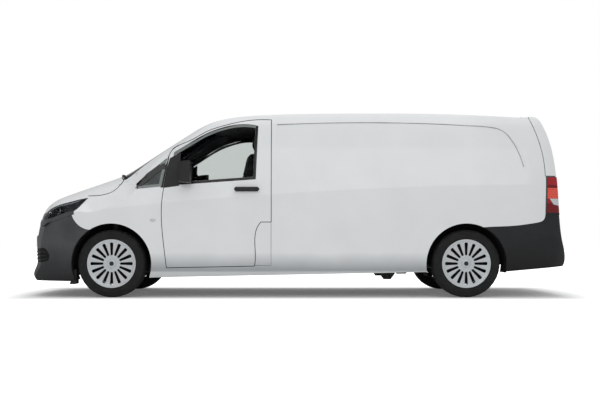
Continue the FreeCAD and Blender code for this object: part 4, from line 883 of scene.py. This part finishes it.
# The light guide is two milky strips moulded into the lens, along its top and down its front.
for name, patch, area, size, lift, thick, material, slot in (
        ("lens", lamp, WHOLE, (96, 30), 0.0022, 0.003, lens, "lamp_clear"),
        ("bezel", lamp, ((0, 0), (0.27, 0.0), (0.36, 1), (0, 1)), (60, 26),
         lambda u, v: 0.0004 + 0.0005 * (int(u * 60) % 3 == 0), 0.0, housing, "lamp_clear"),
        ("apron", apron, WHOLE, (60, 6), 0.005, 0.006, front_plastic, "black_plastic"),
        ("edge_top", lamp, zone(0, 1, 0.0, 0.045), (96, 2), 0.0028, 0.004, housing, "lamp_clear"),
        ("edge_foot", lamp, zone(0, 1, 0.945, 1.0), (96, 2), 0.0028, 0.004, housing, "lamp_clear"),
        ("guide_top", lamp, ((0.09, 0.12), (0.74, 0.10), (0.74, 0.20), (0.13, 0.25)), (60, 4), 0.0017, 0.002,
         guide, "lamp_clear"),
        ("guide_front", lamp, ((0.74, 0.10), (0.78, 0.10), (0.79, 0.93), (0.755, 0.93)), (8, 30), 0.0017, 0.002,
         guide, "lamp_clear")):
    plate(f"headlamp_{name}", patch, area, size, lift, thick, material)

# Each lamp's three units, as rings of (share of the radius, height): a bowl, then its dome.
UNIT = [(1, 0.018), (0.94, 0.0195), (0.86, 0.010), (0.62, 0.000), (0.58, 0.003), (0.56, 0.012), (0.40, 0.021),
        (0.2, 0.0255), (0.0, 0.027)]
UNIT_TURNS = 40
for side, word in SIDES:
    for name, s, depth, radius, dome, facing in (
            ("dipped", 0.53, -0.030, 0.047, housing, (-0.80, -0.60)),
            ("main", 0.90, -0.032, 0.050, housing, (-0.95, -0.3)),
            ("corner", 0.385, -0.020, 0.030, chrome, (-0.80, -0.60))):
        centre = patch_spot(lamp, s, 0.52, depth)
        centre.y *= -side
        outward = Vector((facing[0], facing[1] * -side, 0)).normalized()
        right = Vector((-outward.y, outward.x, 0))
        for part, span, material in (("bowl", UNIT[:5], chrome), ("projector", UNIT[4:], dome)):
            verts = []
            for i in range(UNIT_TURNS):
                angle = 2 * math.pi * i / UNIT_TURNS
                verts += [centre + right * (radius * r * math.cos(angle)) + outward * lift
                          + Vector(UP) * (radius * r * math.sin(angle)) for r, lift in span]
            make_piece(f"headlamp_{name}_{part}_{word}", (verts, quads(UNIT_TURNS, len(span), True, flip=True)),
                       material)

# Painted strips that carry the hood and wing skins down to the lens.
hood_edge = [p for p, _ in rim_loops("hood", hood_heart)[0] if p.y < -0.50 and p.z < 1.02 and p.x < -2.02]
if len(hood_edge) < 4:
    hood_edge = [p + Vector((0.012, 0, 0.014)) for p in lamp_top]
hood_edge.sort(key=lambda p: -p.x)
hood_line = [p + Vector((0.004, 0.010, 0.010)) for p in hood_edge[::max(1, len(hood_edge) // 14)]]
lip = skin_patch(lamp_skin, hood_line, lamp_top, LAMP_HEART, 60, 8)
plate("hood_lip", lip, WHOLE, (60, 8), 0.0008, 0.002, paint, "hood")
TIP_LINE = [(88.6, 197.2), (80.9, 205.4), (73.2, 213.2)]
BEHIND_TIP = [(93.5, 198.0), (88.0, 208.0), (78.5, 221.5)]
tip = skin_patch(lamp_skin, seen(TIP_LINE, lamp_skin), seen(BEHIND_TIP, lamp_skin), LAMP_HEART, 24, 10)
plate("wing_lip", tip, WHOLE, (24, 10), 0.0008, 0.002, paint)

# Tail lamps: red and clear acrylic over a black housing, wrapped round the rear corner: a
# prism field on top, the bright brake and turn lamp, a clear wedge and a dark reflector.
tail_skin = surface_of("tail_lights")
TAIL_SEAM_X, TAIL_REAR_Y, TAIL_FOOT, TAIL_HEAD = 2.4135, -0.739, 0.8195, 1.1695


def behind(y, z, surface):
    """Point of a skin seen straight from the rear."""
    return meet((4, y, z), (-1, 0, 0), (2.6, y, z), surface)


def corner_line(z, surface, side_x, rear_y):
    """Points of a skin round the rear left corner at one height."""
    beside = [meet((x, -3, z), (0, 1, 0), (x, -0.9, z), surface) for x in side_x]
    return beside + [behind(y, z, surface) for y in rear_y]


high, low = [corner_line(z, tail_skin, (TAIL_SEAM_X + lean, TAIL_SEAM_X + 0.05, TAIL_SEAM_X + 0.09),
                         (-0.84, -0.79, TAIL_REAR_Y)) for z, lean in ((TAIL_HEAD, 0.008), (TAIL_FOOT, 0.0))]
cluster = skin_patch(tail_skin, high, low, (2.2, -0.4, 1.0), 60, 60)
dress(housing, "tail_lights")


def waves(tree, place, settings):
    return add_node(tree, "TexWave", settings, {"Vector": place}).outputs[1]


def acrylic(name, colours, prisms):
    """Moulded lens plastic with a fine prism pattern inside it, prisms to the metre."""
    material, tree = new_material(name)
    both = times(tree, *[waves(tree, object_place(tree), {"Scale": prisms, "bands_direction": way})
                         for way in ("Z", "DIAGONAL")])
    values = {"Roughness": 0.30, "IOR": 1.40, "Coat Weight": 0.15, "Coat Roughness": 0.03,
              "Subsurface Weight": 0.1, "Subsurface Radius": (0.02, 0.004, 0.003)}
    show(tree, principled(tree, values, mix_colours(tree, both, *colours), bumped(tree, both, 0.25, 0.001)))
    return material


# PMMA: deep glossy red; the prism field is about 9 mm to a row, the brake lamp brighter.
red_field = acrylic("red_moulded_acrylic", ("B4202A", "6E0A10"), 18.0)
red_bright = acrylic("bright_red_acrylic", ("F0604E", "C8322C"), 14.0)
red_deep = acrylic("dark_red_acrylic", ("7A0812", "66050D"), 30.0)
clear_wedge = acrylic("clear_moulded_acrylic", ("D5D9DA", "AEB4B6"), 24.0)
for name, area, material in (
        ("field", zone(0.03, 0.97, 0.02, 0.245), red_field),
        ("band", zone(0.03, 0.97, 0.25, 0.312), red_deep),
        ("brake", zone(0.03, 0.97, 0.318, 0.60), red_bright),
        ("side", ((0.03, 0.605), (0.115, 0.605), (0.245, 0.73), (0.03, 0.73)), red_field),
        ("wedge", ((0.125, 0.605), (0.97, 0.605), (0.97, 0.84), (0.30, 0.765)), clear_wedge),
        ("reflector_side", ((0.02, 0.735), (0.245, 0.735), (0.30, 0.985), (0.02, 0.985)), red_deep),
        ("reflector", ((0.25, 0.745), (0.97, 0.848), (0.97, 0.985), (0.305, 0.985)), red_deep)):
    plate(f"tail_{name}", cluster, area, (40, 24),
          lambda u, v: 0.0034 - 0.0016 * (max(abs(2 * u - 1), abs(2 * v - 1)) ** 10), 0.005, material)

# Black filler between each tail lamp and the rear bumper, over the corner's foot.
corner_skin = surface_of("side_panel_left", "rear_bumper", "tail_lights")
high, low = [corner_line(z, corner_skin, (TAIL_SEAM_X - 0.003, 2.46, 2.50), (-0.84, -0.742))
             for z in (0.819, 0.802)]
plate("lamp_foot_trim", skin_patch(corner_skin, high, low, (2.2, -0.4, 0.8), 40, 4), WHOLE, (40, 4), 0.004, 0.005,
      rear_plastic)


# Glass: toughened and laminated float glass with a grey-green body tint, glued on a fired-on
# black border; extruded rubber holds the door panes.
pane = clear_sheet("tinted_float_glass", "F0F2F1", "0C0F0F", 0.01, 1.52, (12.0, 0.01, 0.0006), 1.38)
dress(pane, "fixed_glass", "door_glass_left", "door_glass_right", "tailgate_glass")
# Ceramic enamel fired on glass: jet black, glossy through the pane.
frit = solid("black_fired_enamel", ("0A0B0B", "0E0F0F"), 0.12, 50.0, (500.0, 0.05, 0.0003))
BORDER = [(0.016, 0.0007), (0.0, 0.0007), (-0.012, 0.0007), (-0.0265, 0.0007), (-0.0265, -0.0010), (0.016, -0.0010)]


def glass_heart(point):
    return Vector((point.x + 0.25, point.y * 0.4, 0.9))


# The fixed glass's longest rims: the screen's, its foot's and the right quarter glass's.
for node, body, names in (("fixed_glass", "body", ("windscreen", "side", "side")),
                          ("door_glass_left", "door_left", ("door_left",)),
                          ("door_glass_right", "door_right", ("door_right",)),
                          ("tailgate_glass", "tailgate", ("tailgate",))):
    for name, loop in zip(names, rim_loops(node, glass_heart)):
        if name == "side":
            name = "quarter_left" if middle_of(loop).y < 0 else "quarter_right"
        rim_band(f"glass_border_{name}", loop, BORDER, frit, body, surface_of(node), 0.010)

# Black covers on the posts between the quarter glass and the door's pane, on body and door;
# mid-grey ones behind the quarter glass, clipped to the posts, whose grey is a painted reflection in the glass; the
# border's wider top.
mirror_plastic = solid("black_moulded_abs", ("0B0C0C", "121313"), 0.5, 20.0, (420.0, 0.2, 0.0005))
grey_painted_reflection = solid("grey_polypropylene_painted_reflection", ("8A8D8F", "929597"), 0.6, 12.0, (420.0, 0.25, 0.0005))
FLANK_Y = -0.96


def sighted(points, surface):
    """Points of a skin nearest to where the photo's lines of sight pass the van's side."""
    return [surface.find_nearest(CAMERA + sight(point) * (FLANK_Y - CAMERA.y))[0] for point in points]


shell_skin = surface_of("screen_surround", "fixed_glass", "wing_left")
door_skin = surface_of("door_left", "door_glass_left")
POST_FRONT = [(168.2, 156.6), (164.6, 166.0), (161.8, 178.0), (160.5, 186.8)]
POST_REAR = [(172.0, 154.0), (169.6, 165.0), (167.4, 176.0), (166.0, 186.9)]
SAIL_FRONT = [(169.0, 156.4), (166.0, 166.0), (163.5, 177.0), (162.0, 186.7)]
SAIL_REAR = [(179.6, 150.4), (179.2, 163.0), (179.0, 175.0), (178.8, 184.8)]
QUARTER_TOP = [(130.0, 187.5), (142.0, 172.0), (154.0, 161.0), (167.0, 153.0)]
QUARTER_FOOT = [(137.0, 189.4), (148.0, 188.8), (156.0, 188.2), (165.0, 187.8)]
QUARTER_RIM = [(136.2, 184.5), (143.6, 176.0), (152.8, 167.9), (163.5, 161.5)]
QUARTER_INNER = [(141.8, 185.2), (148.0, 179.6), (156.2, 172.4), (163.5, 166.3)]
for name, skin, heart, size, lift, thick, material, slot, body, first, second in (
        ("post_cover", shell_skin, (-1.2, 0, 1.2), (30, 6), 0.0014, 0.003, mirror_plastic, "black_plastic", "body",
         POST_FRONT, POST_REAR),
        ("sail_cover", door_skin, (-1.2, 0, 1.2), (30, 10), 0.0014, 0.003, mirror_plastic, "black_plastic",
         "door_{}", SAIL_FRONT, SAIL_REAR),
        ("quarter_cover", shell_skin, (-1.3, 0, 1.1), (24, 12), -0.012, 0.003, grey_painted_reflection, "trim_plastic", "body",
         QUARTER_TOP, QUARTER_FOOT),
        ("quarter_border_top", shell_skin, (-1.3, 0, 1.1), (30, 4), 0.0009, 0.001, frit, "glass", "body",
         QUARTER_RIM, QUARTER_INNER)):
    patch = skin_patch(skin, sighted(first, skin), sighted(second, skin), heart, *size)
    plate(name, patch, WHOLE, size, lift, thick, material, body)


# Mirrors and handles: black moulded housings, grained like the bumpers, with silvered convex
# glass held in the mirrors and a cover clipped over each handle's grip.
dress(mirror_plastic, "mirror_left", "mirror_right")
silvered = solid("silvered_mirror_glass", ("C6CACC", "CACED0"), 0.03, 3.0, (4.0, 0.01, 0.001), Metallic=1.0)
for side, word in SIDES:
    face = rounded_slab((-1.0134, side * 1.038, 1.206), (0, 1, 0), UP, 0.142, 0.164, 0.0040, 0.024)
    make_slab(f"mirror_glass_{word}", face, silvered, f"door_{word}")
for name, x, side, body in (("left", -0.4735, -1, "door_left"), ("right", -0.4735, 1, "door_right"),
                            ("sliding", -0.0515, 1, "body")):
    grip = rounded_slab((x, side * 0.9735, 1.046), (-side, 0, 0), UP, 0.242, 0.044, 0.0195, 0.021, 0.006)
    make_slab(f"handle_cover_{name}", grip, mirror_plastic, body)

# Side repeaters: clear acrylic domes clipped into each front wing.
wing_skin = surface_of("wing_left")
repeater = skin_patch(wing_skin, seen(((149.6, 219.6), (152.3, 218.7), (155.0, 219.4)), wing_skin),
                      seen(((149.6, 221.2), (152.3, 221.9), (155.0, 221.2)), wing_skin), (-1.5, 0, 0.7), 16, 8)
plate("side_repeater", repeater, WHOLE, (16, 8),
      lambda u, v: 0.002 + 0.006 * math.sin(math.pi * u) * math.sin(math.pi * v), 0.003, clear_wedge)

# Grey strips laid in the fold round each blind window, a painted shadow of the groove under its overhanging edge,
# dull grey on the white.
groove_shadow_grey = solid("grey_painted_groove_shadow", ("6A6E70", "777B7D"), 0.8, 30.0, (600.0, 0.2, 0.0003))
GROOVE_SHADOW_LINE = [(277.3, 124.5), (330.0, 122.9), (375.7, 122.6), (415.0, 123.4), (452.2, 124.9), (486.6, 126.8),
        (501.9, 130.6), (511.5, 140.2), (519.1, 153.6), (523.9, 167.0)]
flank = surface_of("side_panel_left")
for (side, word), first in zip(SIDES, (0, 4)):
    line = [flank.find_nearest(p)[0] for p in smooth_line(seen(GROOVE_SHADOW_LINE[first:], flank))]
    groove_shadow = sweep_section([(p.x, p.y * -side, p.z) for p in line],
                         [(-0.0028, -0.0022), (0.0028, -0.0022), (0.0034, 0.0), (0.0, 0.0022), (-0.0034, 0.0)])
    make_piece(f"groove_shadow_strip_{word}", groove_shadow, groove_shadow_grey)

# Wipers: black steel arms off the scuttle, each with a rubber blade along the screen's foot.
screen = surface_of("fixed_glass")
BLADE = [(-0.004, -0.010), (0.004, -0.010), (0.007, 0.001), (0.002, 0.008), (-0.002, 0.008), (-0.007, 0.001)]
ARM = [(-0.008, -0.003), (0.008, -0.003), (0.006, 0.004), (-0.006, 0.004)]


def screen_foot(y, above):
    """Point on the windscreen a little above its lower edge."""
    for k in range(60):
        hit = screen.ray_cast(Vector((-4, y, 1.0 + 0.005 * k)), Vector((1, 0, 0)))[0]
        if hit:
            return screen.find_nearest(hit + Vector((above * 0.8, 0, above)))[0]
    return Vector((-1.6, y, 1.1))


for word, start, end in (("left", -0.64, -0.06), ("right", 0.02, 0.56)):
    rise, lift = Vector((-0.004, 0, 0.006)), Vector((-0.012, 0, 0.012))
    path = [screen_foot(start + (end - start) * k / 16, 0.028) + rise for k in range(17)]
    make_piece(f"wiper_blade_{word}", sweep_section(path, BLADE), black_rubber_and_gap_shade)
    hub = screen_foot(end + 0.02, 0.001) + Vector((-0.006, 0, 0.004))
    reach = path[8] + lift * 0.4 - hub
    arm = [hub + reach * (k / 10) + lift * 0.6 * math.sin(math.pi * k / 10) for k in range(11)]
    boss = rounded_slab(hub + Vector((0, 0, -0.012)), (1, 0, 0), (0, 1, 0), 0.036, 0.036, 0.018, 0.0175)
    make_piece(f"wiper_arm_{word}", joined([sweep_section(arm, ARM), boss]), wax_paint,
               smooth=False)

# Tailgate: a bare enamelled plate in its moulded holder, under a grained grip rail with two
# clear plate lamps.
gate = surface_of("tailgate")
lean = (behind(0, 1.00, gate) - behind(0, 0.86, gate)).normalized()
outward = Vector((0, 1, 0)).cross(lean)
RAIL_Z = 1.015
for name, material, z, width, height, depth, lift, radius, slot in (
        ("rear_plate_holder", rear_plastic, 0.905, 0.545, 0.130, 0.008, -0.003, 0.012, "black_plastic"),
        ("rear_plate", plate_enamel, 0.905, 0.520, 0.110, 0.003, 0.0048, 0.010, "body_paint"),
        ("tailgate_rail", rear_plastic, RAIL_Z, 0.640, 0.056, 0.020, -0.004, 0.014, "black_plastic")):
    slab = rounded_slab(behind(0, z, gate) + outward * lift, (0, 1, 0), lean, width, height, depth, radius)
    make_slab(name, slab, material, "tailgate")
lamps = [rounded_slab(behind(y, RAIL_Z, gate) + outward * 0.006 - lean * 0.024, (0, -1, 0), outward, 0.070, 0.012,
                      0.006, 0.005) for y in (-0.17, 0.17)]
make_slab("plate_lamps", joined(lamps), clear_wedge, "tailgate")


# Cab: a grained dashboard moulding, a steering wheel in polyurethane foam skin, and seats in
# woven polyester over foam, on steel boxes, with two polished posts under each head rest.
dash_skin = solid("grained_dashboard_polypropylene", ("1C1D1F", "25272A"), 0.6, 8.0, (380.0, 0.35, 0.0006))
wheel_skin = solid("polyurethane_foam_skin", ("121314", "1A1B1C"), 0.5, 30.0, (600.0, 0.3, 0.0004))
dress(dash_skin, "dashboard")
dress(wheel_skin, "steering_wheel")
seat_steel = solid("powder_coated_steel", ("1B1C1D", "242526"), 0.55, 30.0, (700.0, 0.3, 0.0004))
post_steel = solid("polished_steel_tube", ("8C8F91", "A0A3A5"), 0.22, 20.0, (300.0, 0.05, 0.0003), Metallic=1.0)

# Twill of 2 mm: two crossed bands of thread in dark greys, matt with a low sheen.
weave, tree = new_material("woven_polyester_fabric")
place = object_place(tree)
turned = add_node(tree, "Mapping", {"Rotation": (0.0, 0.9, 1.57)}, {"Vector": place})
threads = times(tree, *[waves(tree, way, {"Scale": 160.0, "Distortion": 0.6}) for way in (place, turned)])
cloth_colour = mix_colours(tree, threads, mottled(tree, ("141517", "1D1F22"), 9.0), "34373B")
show(tree, principled(tree, {"Roughness": 0.92, "Sheen Weight": 0.35, "Sheen Roughness": 0.5}, cloth_colour,
                      bumped(tree, threads, 0.6, 0.0008)))

SEAT_X, VOXEL, SWELL, SEAM_HALF = -0.7215, 0.010, 0.014, 0.012
CLOTH_FRAMES, PRESSURE = 20, 4.0
SQUAB = [(-0.315, 0.812), (-0.292, 0.858), (-0.20, 0.862), (-0.04, 0.852), (0.098, 0.866), (0.135, 0.840),
         (0.150, 0.795), (-0.290, 0.785)]
BACK = [(0.140, 0.862), (0.180, 1.10), (0.252, 1.390), (0.272, 1.424), (0.318, 1.430), (0.348, 1.398), (0.282, 1.082),
        (0.224, 0.800), (0.165, 0.800)]
HEAD = [(0.292, 1.462), (0.285, 1.585), (0.318, 1.608), (0.370, 1.592), (0.366, 1.462)]


def apply(piece, kind, **settings):
    """Adds one modifier to a piece and applies it to the mesh."""
    modifier = piece.modifiers.new("shape", kind)
    for key, value in settings.items():
        setattr(modifier, key, value)
    graph = bpy.context.evaluated_depsgraph_get()
    mesh = bpy.data.meshes.new_from_object(piece.evaluated_get(graph))
    piece.modifiers.clear()
    old = piece.data
    piece.data = mesh
    mesh.name = piece.name
    bpy.data.meshes.remove(old)


def swelled(piece, cap):
    """Blows the closed skin up a little as a sewn cover over foam."""
    before = [vert.co.copy() for vert in piece.data.vertices]
    cloth = piece.modifiers.new("cloth", "CLOTH")
    cloth.settings.use_pressure = True
    cloth.settings.uniform_pressure_force = PRESSURE
    cloth.settings.effector_weights.gravity = 0.0
    cloth.point_cache.frame_start, cloth.point_cache.frame_end = 1, CLOTH_FRAMES
    for frame_number in range(1, CLOTH_FRAMES + 1):
        scene.frame_set(frame_number)
    mesh = bpy.data.meshes.new_from_object(piece.evaluated_get(bpy.context.evaluated_depsgraph_get()))
    piece.modifiers.clear()
    for vert, old in zip(mesh.vertices, before):
        move = vert.co - old
        if move.length > cap:
            vert.co = old + move.normalized() * cap
    piece.data = mesh
    mesh.name = piece.name
    scene.frame_set(1)


def stuffed(name, outline, left, right, seams, bevel=0.022):
    """Sewn cover over foam: the outline carried across, rounded, swelled, then sewn along seams."""
    count = len(outline)
    verts = [(SEAT_X + x, y, z) for y in (left, right) for x, z in outline]
    faces = [tuple(range(count)), tuple(range(count, 2 * count))[::-1]]
    faces += [(k, k + count, (k + 1) % count + count, (k + 1) % count) for k in range(count)]
    piece = make_piece(name, (verts, faces), weave)
    bm = bmesh.new()
    bm.from_mesh(piece.data)
    bmesh.ops.recalc_face_normals(bm, faces=bm.faces)
    bm.to_mesh(piece.data)
    bm.free()
    apply(piece, "BEVEL", width=bevel, segments=3, limit_method="ANGLE", angle_limit=math.radians(20))
    apply(piece, "REMESH", mode="VOXEL", voxel_size=VOXEL)
    swelled(piece, SWELL)
    apply(piece, "SUBSURF", levels=1, render_levels=1)
    mesh = piece.data
    pushes = []
    for vert in mesh.vertices:
        depth = 0.0
        for axis, at, deep in seams:
            gap = abs(vert.co[axis] - at)
            if gap < SEAM_HALF:
                depth = max(depth, deep * (0.5 + 0.5 * math.cos(math.pi * gap / SEAM_HALF)))
        pushes.append(vert.normal * -depth)
    for vert, push in zip(mesh.vertices, pushes):
        vert.co += push
    mesh.shade_smooth()
    return piece


# Seams are (axis, place along it, depth).
for name, left, right, places in (("driver", -0.640, -0.160, (-0.400,)), ("bench", -0.120, 0.690, (0.0775, 0.4925))):
    seams = [(1, left + 0.075, 0.006), (1, right - 0.075, 0.006)]
    if name == "bench":
        seams += [(1, 0.285, 0.010), (1, 0.225, 0.005), (1, 0.345, 0.005)]
    stuffed(f"{name}_squab", SQUAB, left, right, seams + [(0, SEAT_X - 0.19, 0.005)])
    stuffed(f"{name}_back", BACK, left, right, seams + [(2, 1.20, 0.005), (2, 1.02, 0.004)])
    box = rounded_slab((SEAT_X - 0.005, (left + right) / 2, 0.470), (1, 0, 0), (0, 1, 0), 0.465,
                       right - left - 0.060, 0.322, 0.030, 0.006)
    make_slab(f"{name}_seat_box", box, seat_steel)
    for number, y in enumerate(places):
        word = name if name == "driver" else f"{name}_{number}"
        stuffed(f"{word}_head_rest", HEAD, y - 0.122, y + 0.122, [(2, 1.535, 0.003)], 0.020)
        posts = [sweep_section([(SEAT_X + 0.333, y + offset, z) for z in (1.40, 1.49)], ring(0.0065))
                 for offset in (-0.070, 0.070)]
        make_piece(f"{word}_head_posts", joined(posts), post_steel)
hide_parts("seats")
